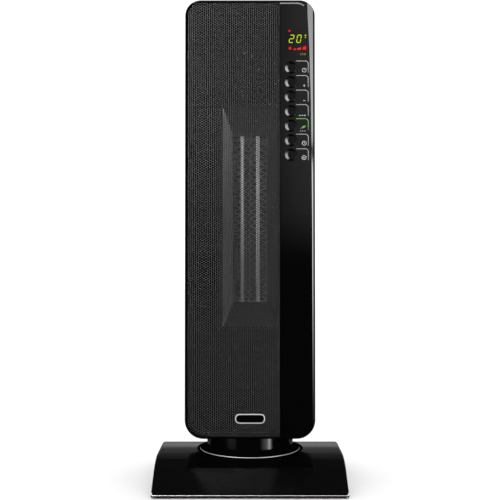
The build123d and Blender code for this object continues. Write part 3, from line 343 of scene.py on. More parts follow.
def brushed(name, colour, roughness, along):
    """Bare metal drawn along one axis. along: how tight the lines are on each axis"""
    material, shader, places = new_finish(name, colour, roughness, metal=1.0)
    lines = cloudy(material, stretched(material, places, along), 1.0, 6.0)
    two_tones(material, shader, lines, tuple(0.72 * c for c in colour), colour)
    dulled(material, shader, lines, roughness, roughness + 0.18)
    relief(material, shader, lines, 0.03 * mm, 0.35)
    return material


# %% [markdown]
# The front, the keys and the base are high-gloss black, so their own colour hardly counts.
# The back half is the same black with a mould grain, which hides scratches where hands carry it.
# The grille is perforated steel with a glossy black coat, so every strand has a small highlight.
# The foot of the base's boss is left dull, and stays black under the collar. So are the flare
# of the neck, the outer rounding of the front frame, and its ledge behind the grille.
# A distance from the swing axis, or along one axis, tells where such a place begins.
# A moulded lid is never quite flat: a slow bump crowns the base, so the wall's reflection
# fades across it.

# %% Outer finishes
shell_black = (0.0014, 0.0014, 0.0015)
finishes = {
    "gloss_black": polished("gloss_black", shell_black, 0.05, 0.05),
    "button_black": polished("button_black", (0.0012, 0.0012, 0.0013), 0.08, 0.05, 0.3),
    "satin_black": moulded("satin_black", (0.0035, 0.0035, 0.0036), (0.007, 0.007, 0.0072),
                           0.36, 0.45 * mm),
    "display_glass": polished("display_glass", (0.0012, 0.0008, 0.0008), 0.03, 0.03),
}

grille_paint, shader, places = new_finish("grille_metal", (0.006, 0.006, 0.006), 0.24, gloss=0.9)
flakes = cloudy(grille_paint, places, 1400.0, 3.0)
two_tones(grille_paint, shader, flakes, (0.002, 0.002, 0.002), (0.006, 0.006, 0.0061))
dulled(grille_paint, shader, cloudy(grille_paint, places, 300.0), 0.2, 0.28)
relief(grille_paint, shader, flakes, 0.03 * mm, 0.4)
finishes["grille_metal"] = grille_paint


def reopened(material):
    """A finished material with its shader and its Object coordinates, to add more to it"""
    nodes = material.node_tree.nodes
    return material, nodes["Principled BSDF"], nodes["Texture Coordinate"].outputs["Object"]


far_off = 200.0 * mm
boss_foot_radius = 68.4 * mm
crown_front, crown_back, crown_height = -60.0 * mm, 15.0 * mm, 4.4 * mm
base_black, shader, places = reopened(polished("base_black", shell_black, 0.07, 0.05))
gloss_only(base_black, shader, from_swing_axis(base_black, places), boss_foot_radius, far_off)
crowned = between(base_black, axis_of(base_black, places, "Y"), 0.0, 1.0, crown_front, crown_back)
crowned.node.interpolation_type = "SMOOTHSTEP"
relief(base_black, shader, crowned, crown_height)

flat_left, flat_right = -70.0 * mm, 77.5 * mm
before_front, ledge_front = -70.0 * mm, -56.7 * mm
frame_black, shader, places = reopened(polished("frame_black", shell_black, 0.05, 0.05))
gloss_only(frame_black, shader, axis_of(frame_black, places, "X"), flat_left, flat_right)
gloss_only(frame_black, shader, axis_of(frame_black, places, "Y"), before_front, ledge_front,
           0.3 * mm)

flare_radius, flare_top = 55.1 * mm, 47.5 * mm
neck_black, shader, places = reopened(polished("neck_black", shell_black, 0.09, 0.05))
gloss_only(neck_black, shader, from_swing_axis(neck_black, places), 0.0, flare_radius)
gloss_only(neck_black, shader, axis_of(neck_black, places, "Z"), flare_top, far_off, 1.5 * mm)
print("outer finishes", sorted(finishes))

# %% [markdown]
# Inside, aluminium carries the heat, zinc-plated steel holds it, and a speckled heat-proof
# moulding frames it. The two tubes catch the light and shine through the grille.
# The folded fins between them are dull.
# The boards are green lacquer over copper tracks, which a brick pattern draws well enough,
# and the filter's cloth is two wave patterns across each other.

# %% Inner finishes
for name, dark, light, roughness, grain in (
        ("heater_frame", (0.008, 0.008, 0.008), (0.03, 0.029, 0.028), 0.5, 0.9 * mm),
        ("part_black", (0.006, 0.006, 0.006), (0.012, 0.012, 0.012), 0.45, 0.3 * mm),
        ("impeller_black", (0.004, 0.004, 0.004), (0.01, 0.01, 0.0105), 0.4, 0.5 * mm),
        ("rubber", (0.004, 0.004, 0.004), (0.009, 0.009, 0.009), 0.78, 0.6 * mm),
        ("acetal_white", (0.62, 0.61, 0.57), (0.7, 0.69, 0.65), 0.35, 1.2 * mm)):
    finishes[name] = moulded(name, dark, light, roughness, grain)
for name, colour, roughness, along in (
        ("aluminium", (0.62, 0.623, 0.63), 0.26, (900.0, 900.0, 14.0)),
        ("steel", (0.52, 0.53, 0.55), 0.34, (160.0, 160.0, 160.0)),
        ("fin_dull", (0.2, 0.2, 0.2), 0.5, (40.0, 600.0, 40.0))):
    finishes[name] = brushed(name, colour, roughness, along)
finishes["film_blue"] = polished("film_blue", (0.02, 0.08, 0.33), 0.2, 0.15)

board, shader, places = new_finish("board_green", (0.01, 0.09, 0.03), 0.3)
tracks = board.node_tree.nodes.new("ShaderNodeTexBrick")
tracks.inputs["Scale"].default_value = 1.0
tracks.inputs["Color1"].default_value = (0.008, 0.075, 0.024, 1.0)
tracks.inputs["Color2"].default_value = (0.012, 0.1, 0.032, 1.0)
tracks.inputs["Mortar"].default_value = (0.03, 0.2, 0.07, 1.0)
tracks.inputs["Mortar Size"].default_value = 0.06
tracks.inputs["Brick Width"].default_value = 1.7
tracks.inputs["Row Height"].default_value = 0.6
turned = board.node_tree.nodes.new("ShaderNodeMapping")
turned.inputs["Rotation"].default_value = (right_angle, 0.0, 0.0)
turned.inputs["Scale"].default_value = (260.0, 260.0, 260.0)
board.node_tree.links.new(places, turned.inputs["Vector"])
board.node_tree.links.new(turned.outputs["Vector"], tracks.inputs["Vector"])
board.node_tree.links.new(tracks.outputs["Color"], shader.inputs["Base Color"])
relief(board, shader, tracks.outputs["Fac"], 0.04 * mm)
finishes["board_green"] = board

cloth, shader, places = new_finish("filter_cloth", (0.02, 0.02, 0.022), 0.85)
warp = cloth.node_tree.nodes.new("ShaderNodeTexWave")
weft = cloth.node_tree.nodes.new("ShaderNodeTexWave")
weft.bands_direction = "Z"
for thread in (warp, weft):
    thread.inputs["Scale"].default_value = 320.0
    cloth.node_tree.links.new(places, thread.inputs["Vector"])
weave = product_of(cloth, warp.outputs["Fac"], weft.outputs["Fac"])
two_tones(cloth, shader, weave, (0.003, 0.003, 0.003), (0.035, 0.035, 0.038), 0.1, 0.7)
relief(cloth, shader, weave, 0.2 * mm)
finishes["filter_cloth"] = cloth
print("all finishes", len(finishes))

# %% [markdown]
# The air duct is one moulding: a black frame behind the grille, and a funnel with a light skin.
# Light from the right falls on the funnel's left side, most on its upper half, and that light
# is painted into the skin: bright there, and painted shade, nearly black, on the rest.
# One step along Y, the depth axis, switches from black paint to the skin behind the frame's face.
# The left side leans inwards, so a second step along X, which leans with it, keeps the painted
# light to that side, and a step along Z makes it fade towards the bottom.

# %% Duct finish
duct, shader, places = new_finish("duct_grey", (0.002, 0.002, 0.002), 0.5, gloss=0.0)
duct_low, duct_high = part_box("air_duct")
mouth_left, throat_left, throat_back = -33.5 * mm, -22.0 * mm, -12.0 * mm
depth = axis_of(duct, places, "Y")
behind = between(duct, depth, 0.0, 1.0, duct_low.y + 0.1 * mm, duct_low.y + 0.4 * mm)
skin = cloudy(duct, stretched(duct, places, (60.0, 60.0, 12.0)), 1.0, 6.0)
flank_lean = (throat_left - mouth_left) / (throat_back - duct_low.y)
along = duct.node_tree.nodes.new("ShaderNodeMath")
along.operation = "MULTIPLY_ADD"
along.inputs[1].default_value = -flank_lean
duct.node_tree.links.new(depth, along.inputs[0])
duct.node_tree.links.new(axis_of(duct, places, "X"), along.inputs[2])
flank_start = mouth_left - flank_lean * duct_low.y
# Painted light: the left flank, which faces the light, is bright, and the other sides get painted
# shade.
painted_light_left_flank = between(duct, along.outputs[0], 1.0, 0.03,
                    flank_start + 0.3 * mm, flank_start + 0.8 * mm)
# Painted light: the lit flank fades towards the bottom, away from the light above.
painted_light_upper_part = between(duct, axis_of(duct, places, "Z"), 0.42, 1.0, 320.0 * mm, 430.0 * mm)
skin_and_painted_light = behind
for share in (between(duct, skin, 0.75, 1.0), painted_light_left_flank, painted_light_upper_part):
    skin_and_painted_light = product_of(duct, skin_and_painted_light, share)
two_tones(duct, shader, skin_and_painted_light, (0.001, 0.001, 0.001), (0.36, 0.36, 0.363), 0.0, 1.0)
dulled(duct, shader, behind, 0.6, 0.45, 0.0, 1.0)
finishes["duct_grey"] = duct
print("duct from", duct_low.y, "to", duct_high.y)

# %% [markdown]
# The record says which slot each CAD piece belongs to, so the finishes are handed out from
# that list. The base, the front frame and the neck have blacks of their own, and the fins
# a duller metal, because the photo shows them dark beside the tubes.
# Only the material slot changes here, never the mesh.

# %% Hand out the finishes
own_finish = {"base_shell": base_black, "front_frame": frame_black, "neck": neck_black,
              "centre_plate": finishes["fin_dull"]}
slot_of = {row["node"]: row["material_slot"] for row in frame["record"]["subparts"]}
for node, slot in slot_of.items():
    finish = finishes["fin_dull"] if node.startswith("fin_strip") else finishes[slot]
    for place in frame["nodes"][node].material_slots:
        place.material = own_finish.get(node, finish)
print("dressed", len(slot_of), "CAD pieces")


# %% [markdown]
# Everything that is added below is made in a bmesh and then turned into an object that rides
# on a body. One helper does that turn, so the finish and the body are never forgotten.
# Two small ones pick out what an operator has just made, so it can be moved on.

# %% Helpers for new pieces
def of_kind(geom, kind):
    """Picks the corners or the edges out of what an operator made"""
    return [part for part in geom if isinstance(part, kind)]


def drawn_on(form, edges):
    """Extrudes edges. Returns the new corners, and the new edges between them"""
    made = bmesh.ops.extrude_edge_only(form, edges=edges)["geom"]
    ends = of_kind(made, BMVert)
    return ends, [edge for edge in of_kind(made, BMEdge) if set(edge.verts) <= set(ends)]


def new_piece(name, form, finish, body="tower", replaces=(), smooth=True):
    """Turns a finished form into an object that rides on a body"""
    form.normal_update()
    mesh = bpy.data.meshes.new(name)
    form.to_mesh(mesh)
    form.free()
    mesh.polygons.foreach_set("use_smooth", [smooth] * len(mesh.polygons))
    piece = bpy.data.objects.new(name, mesh)
    scene.collection.objects.link(piece)
    piece.data.materials.append(finish)
    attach(piece, body)
    if replaces:
        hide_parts(*replaces)
    print(name, len(mesh.polygons), "faces")
    return piece


# %% [markdown]
# The real grille has thousands of small holes on a 3 mm lattice, far finer than the CAD sheet's.
# One hexagonal cell is drawn with a round hole in it, and its rim is pushed back so the strands
# look rounded. Copies of the cell make rows and columns, and planes trim them to the frame's
# outline. Punched sheet is rolled back along its edge, which is why the photo's outermost
# strands sparkle. Solidify gives the sheet its thickness.
# It is four sheets, because one would have too many triangles.

# %% Fine grille
grille_low, grille_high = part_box("front_grille")
hole_pitch = 3.0 * mm
hole_radius = 1.22 * mm
strand_drop = 0.32 * mm
sheet_thickness = 0.45 * mm
roll_width = 2.4 * mm
roll_depth = 0.5 * mm
column_step = hole_pitch * math.cos(math.radians(30))
cell_radius = hole_pitch / 2 / math.cos(math.radians(30))
top_corner = 16.2 * mm
bottom_corner = 20.2 * mm
corner_cuts = 12
merge_distance = 0.02 * mm
sheet_count = 4
rows = math.ceil((grille_high.z - grille_low.z) / hole_pitch / sheet_count) + 1
columns = math.ceil((grille_high.x - grille_low.x) / column_step / 2) + 1


def copies(form, count, step):
    """Copies everything in the form, count times in all, each a step further"""
    first = form.verts[:] + form.edges[:] + form.faces[:]
    for turn in range(1, count):
        made = bmesh.ops.duplicate(form, geom=first)["geom"]
        bmesh.ops.translate(form, verts=of_kind(made, BMVert), vec=step * turn)


def trim(form, point, outward, near=None):
    """Cuts off what lies outside a plane"""
    faces = [f for f in form.faces if near is None or near(f.calc_center_median())]
    geom = {g for f in faces for g in (f, *f.edges, *f.verts)}
    bmesh.ops.bisect_plane(form, geom=list(geom), plane_co=point, plane_no=outward,
                           clear_outer=True, dist=1e-7)


def cell_with_hole():
    """Hexagon with a round hole, upright in XZ, its outer edge in front"""
    form = bmesh.new()
    bmesh.ops.create_circle(form, cap_ends=True, radius=cell_radius, segments=6)
    bmesh.ops.rotate(form, verts=form.verts, matrix=Matrix.Rotation(math.radians(30), 3, "Z"))
    bmesh.ops.subdivide_edges(form, edges=form.edges[:], cuts=1)
    hole = next(iter(form.faces))
    bmesh.ops.inset_individual(form, faces=[hole], thickness=(cell_radius - hole_radius) / 2)
    for corner in hole.verts:
        corner.co = corner.co.normalized() * hole_radius
        corner.co.z = -strand_drop
    bmesh.ops.delete(form, geom=[hole], context="FACES_ONLY")
    bmesh.ops.transform(form, verts=form.verts, matrix=Matrix.Rotation(right_angle, 4, "X"))
    return form


def edge_distance(place):
    """How far inside the sheet's outline a place lies"""
    upper = place.z > (grille_low.z + grille_high.z) / 2
    radius = top_corner if upper else bottom_corner
    rise = grille_high.z - place.z if upper else place.z - grille_low.z
    run = place.x - grille_low.x
    if run < radius and rise < radius:
        return radius - math.hypot(radius - run, radius - rise)
    return min(run, rise, grille_high.x - place.x)


for sheet in range(sheet_count):
    form = cell_with_hole()
    copies(form, 2, Vector((column_step, 0.0, hole_pitch / 2)))
    copies(form, columns, Vector((2 * column_step, 0.0, 0.0)))
    copies(form, rows, Vector((0.0, 0.0, hole_pitch)))
    bmesh.ops.remove_doubles(form, verts=form.verts[:], dist=merge_distance)
    start = Vector((grille_low.x, grille_low.y, grille_low.z + sheet * (rows - 1) * hole_pitch))
    bmesh.ops.translate(form, verts=form.verts, vec=start)
    foot = start.z if sheet else grille_low.z
    head = min(start.z + (rows - 1) * hole_pitch, grille_high.z)
    trim(form, (grille_low.x, 0.0, 0.0), (-1.0, 0.0, 0.0))
    trim(form, (grille_high.x, 0.0, 0.0), (1.0, 0.0, 0.0))
    trim(form, (0.0, 0.0, foot), (0.0, 0.0, -1.0))
    trim(form, (0.0, 0.0, head), (0.0, 0.0, 1.0))
    for corner_z, radius, side in ((grille_low.z, bottom_corner, -1),
                                   (grille_high.z, top_corner, 1)):
        middle = Vector((grille_low.x + radius, 0.0, corner_z - side * radius))
        for step in range(1, corner_cuts):
            turn = right_angle * step / corner_cuts
            outward = Vector((-math.cos(turn), 0.0, side * math.sin(turn)))
            trim(form, middle + outward * radius, outward,
                 near=lambda c: c.x < middle.x and (c.z - middle.z) * side > 0)
    for corner in form.verts:
        share = max(0.0, 1 - edge_distance(corner.co) / roll_width)
        corner.co.y += roll_depth * share * share
    sheet_piece = new_piece(f"grille_sheet_{sheet + 1}", form, finishes["grille_metal"],
                            replaces=("front_grille",))
    wall = sheet_piece.modifiers.new("sheet_thickness", "SOLIDIFY")
    wall.thickness = sheet_thickness
    wall.offset = -1.0

# %% [markdown]
# The marks on the front are thin prints, and the lit ones shine through the smoked lens.
# All are drawn flat, x to the right and y up, as if on paper. Then they get their thickness,
# and one turn stands them on the front, so the same drawing helpers serve prints and lights alike.

# %% Helpers for marks
fascia_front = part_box("control_fascia")[0].y
mark_thickness = 0.05 * mm


def bar(form, x, y, width, height, turn=0.0):
    """Rectangle round a centre, turned in degrees"""
    place = Matrix.Translation((x * mm, y * mm, 0.0)) @ Matrix.Rotation(math.radians(turn), 4, "Z")
    bmesh.ops.create_grid(form, x_segments=1, y_segments=1, size=0.5,
                          matrix=place @ Matrix.Diagonal((width * mm, height * mm, 1.0, 1.0)))


def disc(form, x, y, radius, squash=1.0, turn=0.0):
    """Round spot, or an oval one where squash isn't 1"""
    place = Matrix.Translation((x * mm, y * mm, 0.0)) @ Matrix.Rotation(math.radians(turn), 4, "Z")
    made = bmesh.ops.create_circle(form, cap_ends=True, radius=radius * mm, segments=32,
                                   matrix=place @ Matrix.Diagonal((1.0, squash, 1.0, 1.0)))
    return {face for corner in made["verts"] for face in corner.link_faces}


def ring(form, x, y, outer, inner):
    """Flat ring"""
    spot = list(disc(form, x, y, outer))
    bmesh.ops.inset_individual(form, faces=spot, thickness=(outer - inner) * mm)
    bmesh.ops.delete(form, geom=spot, context="FACES_ONLY")


def line_start(form, x, y, width):
    """Short upright edge that a line to the right is drawn from"""
    ends = [bmesh.ops.create_vert(form, co=(x * mm, (y + side * width / 2) * mm, 0.0))["vert"][0]
            for side in (-1, 1)]
    return bmesh.ops.contextual_create(form, geom=ends)["edges"]


def line_on(form, edges, step):
    """Draws on straight by a step and returns the new end"""
    ends, new_end = drawn_on(form, edges)
    bmesh.ops.translate(form, verts=ends, vec=Vector(step) * mm)
    return new_end


def line_turn(form, edges, x, y, degrees):
    """Draws on round a centre and returns the new end"""
    made = bmesh.ops.spin(form, geom=edges, cent=(x * mm, y * mm, 0.0), axis=(0.0, 0.0, 1.0),
                          angle=math.radians(degrees), steps=8, use_duplicate=False)["geom_last"]
    return of_kind(made, BMEdge)


def stand_up(form, front, thickness=mark_thickness):
    """Gives a flat drawing its thickness and stands it on a front face, sunk in by a fifth"""
    bmesh.ops.recalc_face_normals(form, faces=form.faces)
    for face in form.faces:
        if face.normal.z < 0:
            face.normal_flip()
    bmesh.ops.solidify(form, geom=form.faces[:], thickness=thickness)
    top = max(corner.co.z for corner in form.verts)
    bmesh.ops.translate(form, verts=form.verts, vec=(0.0, 0.0, thickness * 0.8 - top))
    bmesh.ops.transform(form, verts=form.verts, matrix=Matrix.Rotation(right_angle, 4, "X"))
    bmesh.ops.translate(form, verts=form.verts, vec=(0.0, front, 0.0))
    bmesh.ops.recalc_face_normals(form, faces=form.faces)


def lit(name, colour, strength):
    """Light from an LED behind a lens: brighter in its middle grain than at its edge grain"""
    material, shader, places = new_finish(name, (0.01, 0.01, 0.01), 0.25, gloss=0.1)
    grain = cloudy(material, places, 900.0, 2.0)
    shader.inputs["Emission Color"].default_value = (*colour, 1.0)
    material.node_tree.links.new(between(material, grain, 0.82 * strength, 1.12 * strength),
                                 shader.inputs["Emission Strength"])
    return material


def printed(name, colour):
    """Matt screen-printed ink"""
    material, shader, places = new_finish(name, colour, 0.6)
    two_tones(material, shader, cloudy(material, places, 2500.0),
              tuple(0.8 * c for c in colour), colour)
    return material


lit_lime = lit("lit_lime", (0.62, 0.78, 0.0), 1.0)
lit_red = lit("lit_red", (0.9, 0.0, 0.003), 1.0)
print_grey = printed("print_grey", (0.3, 0.3, 0.3))
print_green = printed("print_green", (0.09, 0.36, 0.04))
print_white = printed("print_white", (0.5, 0.5, 0.5))
print("marks stand on y =", fascia_front)

# %% [markdown]
# A room display shows the temperature in slanted seven-segment digits, with a small degree mark.
# Below it a red round sign and a rising red wedge show the heat level, and a green sign the timer.
# Each segment is a six-sided circle pulled long, which gives it the pointed ends of a real one.

# %% Lit display
digit_slant = 0.17
segments_of = {"2": "abged", "0": "abcdef"}
segment_width = 1.2
segment_gap = 0.5
digit_low, digit_height = 548.3, 9.2
heat_x, heat_z = 49.3, 541.3
wedge_foot = 539.3


def segment(form, x, y, length, flat):
    """Bar with pointed ends, upright or flat"""
    made = bmesh.ops.create_circle(form, cap_ends=True, radius=segment_width / 2 * mm,
                                   segments=6)["verts"]
    for corner in made:
        corner.co.y += math.copysign((length - segment_width) / 2 * mm, corner.co.y)
    turn = Matrix.Rotation(right_angle if flat else 0.0, 4, "Z")
    bmesh.ops.transform(form, verts=made, matrix=Matrix.Translation((x * mm, y * mm, 0.0)) @ turn)


def digit(form, sign, left, low, width, height):
    """Seven-segment digit, leaning to the right"""
    centre, right, middle, high = left + width / 2, left + width, low + height / 2, low + height
    half, full = height / 2 - segment_gap, width - segment_gap
    places = {"a": (centre, high, full, True),
              "g": (centre, middle, full, True),
              "d": (centre, low, full, True),
              "b": (right, middle + height / 4, half, False),
              "c": (right, middle - height / 4, half, False),
              "f": (left, middle + height / 4, half, False),
              "e": (left, middle - height / 4, half, False)}
    first = set(form.verts)
    for letter in segments_of[sign]:
        segment(form, *places[letter])
    for corner in set(form.verts) - first:
        corner.co.x += (corner.co.y - low * mm) * digit_slant


form = bmesh.new()
digit(form, "2", 48.1, digit_low, 4.9, digit_height)
digit(form, "0", 57.3, digit_low, 4.6, digit_height)
ring(form, 68.4, 557.2, 0.95, 0.4)
bar(form, 68.5, 554.4, 1.4, 0.6)
bar(form, 68.0, 555.2, 0.5, 1.5)
stand_up(form, fascia_front)
new_piece("display_digits", form, lit_lime)

form = bmesh.new()
disc(form, 48.7, 562.8, 1.25)
disc(form, heat_x, heat_z, 1.3)
for turn in range(6):
    spoke = math.radians(60 * turn)
    disc(form, heat_x + 1.75 * math.cos(spoke), heat_z + 1.75 * math.sin(spoke), 0.38)
for left, right, high_left, high_right in ((53.1, 56.7, 540.0, 541.2), (58.1, 62.9, 541.1, 542.5),
                                           (65.0, 69.2, 542.5, 544.2)):
    start = line_start(form, left, (wedge_foot + high_left) / 2, high_left - wedge_foot)
    end = line_on(form, start, (right - left, 0.0, 0.0))
    for corner in end[0].verts:
        if corner.co.y > (wedge_foot + 0.1) * mm:
            corner.co.y = high_right * mm
stand_up(form, fascia_front)
new_piece("display_reds", form, lit_red)

form = bmesh.new()
for x, width in ((62.7, 1.6), (64.9, 1.4), (67.6, 2.6)):
    bar(form, x, 534.5, width, 0.7)
    bar(form, x, 533.2, width, 0.7)
stand_up(form, fascia_front)
new_piece("display_timer_sign", form, lit("lit_olive", (0.2, 0.25, 0.0), 1.0))

# %% [markdown]
# A printed line hooks round the right of each key and ties it to its sign.
# The fifth, for the saving mode, is green. The signs are the usual ones: on/off ring, plus,
# minus, three dots, leaf, clock and turning arrows.
# Each line is one short edge drawn on straight, round a corner and down.

# %% Printed lines and signs
line_left, line_right = 56.8, 71.8
line_corner = 3.7
hooks = [(525.4, 511.0), (507.4, 493.1), (489.3, 475.0), (471.4, 457.5), (454.1, 439.8),
         (434.9, 420.7), (416.9, 403.0)]
green_hook = 4
lines, green_line = bmesh.new(), bmesh.new()
for number, (high, low) in enumerate(hooks):
    form = green_line if number == green_hook else lines
    end = line_start(form, line_left, high, 1.0)
    end = line_on(form, end, (line_right - line_corner - line_left, 0.0, 0.0))
    end = line_turn(form, end, line_right - line_corner, high - line_corner, -90.0)
    line_on(form, end, (0.0, low - high + line_corner, 0.0))
stand_up(lines, fascia_front)
new_piece("key_lines", lines, print_grey)
disc(green_line, 66.0, 443.9, 3.0, 0.42, 28.0)
bar(green_line, 62.9, 442.2, 2.0, 0.7, 28.0)
stand_up(green_line, fascia_front)
new_piece("key_line_saving", green_line, print_green)

form = bmesh.new()
ring(form, 66.9, 514.1, 2.75, 2.05)
bar(form, 66.9, 515.3, 0.8, 2.6)
bar(form, 66.8, 494.9, 2.5, 0.85)
bar(form, 66.8, 495.8, 0.85, 1.0)
bar(form, 66.8, 494.0, 0.85, 1.0)
bar(form, 66.8, 476.4, 2.8, 0.8)
for x in (61.6, 64.6, 67.6):
    bar(form, x, 458.1, 1.9, 1.1)
for x in (62.2, 64.8, 67.6):
    bar(form, x, 438.9, 1.5, 0.75)
ring(form, 66.8, 423.8, 2.85, 2.15)
bar(form, 66.8, 424.6, 0.7, 1.7)
bar(form, 67.4, 423.3, 1.5, 0.7, -30.0)
fan_x, fan_z = 66.5, 406.0
for start_turn in (40.0, 220.0):
    way = math.radians(start_turn)
    arrow = [Vector((fan_x + r * math.cos(way), fan_z + r * math.sin(way), 0.0)) * mm
             for r in (2.15, 2.85)]
    ends = [bmesh.ops.create_vert(form, co=place)["vert"][0] for place in arrow]
    line_turn(form, bmesh.ops.contextual_create(form, geom=ends)["edges"], fan_x, fan_z, 150.0)
    tip = math.radians(start_turn + 158)
    disc(form, fan_x + 2.5 * math.cos(tip), fan_z + 2.5 * math.sin(tip), 0.85)
disc(form, fan_x, fan_z, 0.9)
stand_up(form, fascia_front)
new_piece("key_signs", form, print_white)

# %% [markdown]
# Low on the grille sits a small plate with a bright rim. Its face stays bare.
# A punched grille leaves a plate nothing to glue to but its strands, so it is a thin tray
# with rounded corners. One grid cell with bevelled corners is inset twice: first for the rim,
# then for the drop to the face.

# %% Plate on the grille
# This satin silver is the plate's real rim. On the beads further down, it is a painted highlight.
satin_silver, shader, places = new_finish("satin_silver", (0.75, 0.75, 0.76), 0.35, metal=0.3)
dulled(satin_silver, shader, cloudy(satin_silver, places, 300.0), 0.3, 0.42)
relief(satin_silver, shader, cloudy(satin_silver, places, 2200.0), 0.02 * mm, 0.3)
grille_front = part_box("front_grille")[0].y
plate_height, plate_corner = 1.1 * mm, 5.2 * mm
rim_width, rim_rounding = 0.75 * mm, 0.25 * mm
wall_slope, face_drop = 0.12 * mm, 0.35 * mm

form = bmesh.new()
bar(form, 0.1, 85.7, 36.5, 11.6)
bmesh.ops.bevel(form, geom=form.verts[:], offset=plate_corner, segments=8, profile=0.5,
                affect="VERTICES", material=-1)
made = bmesh.ops.extrude_face_region(form, geom=form.faces[:])["geom"]
bmesh.ops.translate(form, verts=of_kind(made, BMVert), vec=(0.0, 0.0, plate_height))
bmesh.ops.recalc_face_normals(form, faces=form.faces)
face = max(form.faces, key=lambda f: f.calc_center_median().z + (f.normal.z > 0.9))
bmesh.ops.bevel(form, geom=list(face.edges), offset=rim_rounding, segments=2, profile=0.5,
                affect="EDGES", material=-1)
face = max((f for f in form.faces if f.normal.z > 0.99), key=lambda f: f.calc_area())
bmesh.ops.inset_individual(form, faces=[face], thickness=rim_width)
bmesh.ops.inset_individual(form, faces=[face], thickness=wall_slope, depth=-face_drop)
face.material_index = 1
bmesh.ops.transform(form, verts=form.verts, matrix=Matrix.Rotation(right_angle, 4, "X"))
bmesh.ops.translate(form, verts=form.verts, vec=(0.0, grille_front + 0.02 * mm, 0.0))
plate = new_piece("grille_plate", form, satin_silver, smooth=False)
plate.data.materials.append(finishes["button_black"])

# %% [markdown]
# Three painted highlights finish the heater, pale pieces that stand in for the light caught
# on edges: a strip above the fascia, a bead round the neck's foot, and a bead along the front
# lip of the base that climbs a little at its two corners.
# The strip is a line drawn on round the frame's corner, the neck's bead is a small circle spun
# round the swing axis, and the lip's bead is a curve with a round section, turned into a mesh.

# %% Painted highlights
frame_low, frame_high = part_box("front_frame")
# Painted highlight: a flat grey strip stands in for the light caught along the frame's top edge.
strip_grey, shader, places = new_finish("strip_grey", (0.2, 0.2, 0.2), 0.4)
dulled(strip_grey, shader, cloudy(strip_grey, places, 300.0), 0.34, 0.46)
strip_z = frame_high.z / mm - 4.0
strip_left, strip_straight, strip_radius = 37.0, 21.0, 14.0
form = bmesh.new()
start = line_start(form, strip_left, strip_z, 1.5)
end = line_on(form, start, (strip_straight, 0.0, 0.0))
line_turn(form, end, strip_left + strip_straight, strip_z - strip_radius, -38.0)
stand_up(form, frame_low.y, 0.12 * mm)
new_piece("top_strip", form, strip_grey, smooth=False)

# Painted highlight: a pale bead stands in for the light caught on the collar's rim.
collar_low, collar_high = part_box("neck")
form = bmesh.new()
bmesh.ops.create_circle(form, radius=0.42 * mm, segments=12)
bmesh.ops.transform(form, verts=form.verts, matrix=Matrix.Rotation(right_angle, 4, "X"))
bmesh.ops.translate(form, verts=form.verts,
                    vec=(collar_high.x - 0.25 * mm, 0.0, collar_low.z + 0.6 * mm))
bmesh.ops.spin(form, geom=form.edges[:], cent=(0.0, 0.0, 0.0), axis=(0.0, 0.0, 1.0),
               angle=math.radians(360), steps=144, use_merge=True, use_duplicate=False)
bmesh.ops.recalc_face_normals(form, faces=form.faces)
new_piece("neck_bead", form, satin_silver)

# Painted highlight: a pale bead stands in for the light caught on the lip's rounded edge.
base_low, base_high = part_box("base_shell")
bead_radius = 0.6 * mm
bead_corner = 2.5 * mm
bead_rise = 2.4 * mm
bead_steps = 8
bead_z = base_low.z + 1.75 * mm
side = base_high.x - bead_radius
front = base_low.y + bead_radius
bead_path = []
for end_sign in (-1, 1):
    climb = []
    for step in range(bead_steps + 1):
        turn = right_angle * step / bead_steps
        climb.append((end_sign * (side - bead_corner * (1 - math.sin(turn))),
                      front + bead_corner * (1 - math.cos(turn)),
                      bead_z + bead_rise * (1 - math.cos(turn))))
    bead_path += climb[::-1] if end_sign < 0 else climb
bead_curve = bpy.data.curves.new("lip_bead_path", "CURVE")
bead_curve.dimensions = "3D"
bead_curve.bevel_depth = bead_radius
bead_curve.bevel_resolution = 3
bead_curve.use_fill_caps = True
path = bead_curve.splines.new("POLY")
path.points.add(len(bead_path) - 1)
for point, place in zip(path.points, bead_path):
    point.co = (*place, 1.0)
drawn = bpy.data.objects.new("lip_bead_path", bead_curve)
form = bmesh.new()
form.from_mesh(bpy.data.meshes.new_from_object(drawn))
bpy.data.objects.remove(drawn)
new_piece("lip_bead", form, satin_silver, body="base")
print("base from", tuple(base_low), "to", tuple(base_high))

# %% [markdown]
# The screws at the back and under the base are ordinary pan heads with a cross recess.
# A three-by-three grid without its corners is the cross, and the ring between it and the rim
# is filled. The cross is pushed in and narrowed, and the rim is drawn out, round and down
# to the shank.

# %% Screws with a cross recess
head_radius = 3.15 * mm
head_edge = 0.45 * mm
shank_radius = 1.5 * mm
shank_length = 12.0 * mm
tip_length = 1.5 * mm
cad_head_radius = 3.2 * mm
cross_span = 3.4 * mm
cross_arm = 0.9 * mm
cross_depth = 1.0 * mm


def draw_in(form, edges, radius_share, drop):
    """Draws a round edge loop on: scaled about the axis and moved down"""
    ends, new_end = drawn_on(form, edges)
    bmesh.ops.scale(form, verts=ends, vec=(radius_share, radius_share, 1.0))
    bmesh.ops.translate(form, verts=ends, vec=(0.0, 0.0, -drop))
    return new_end


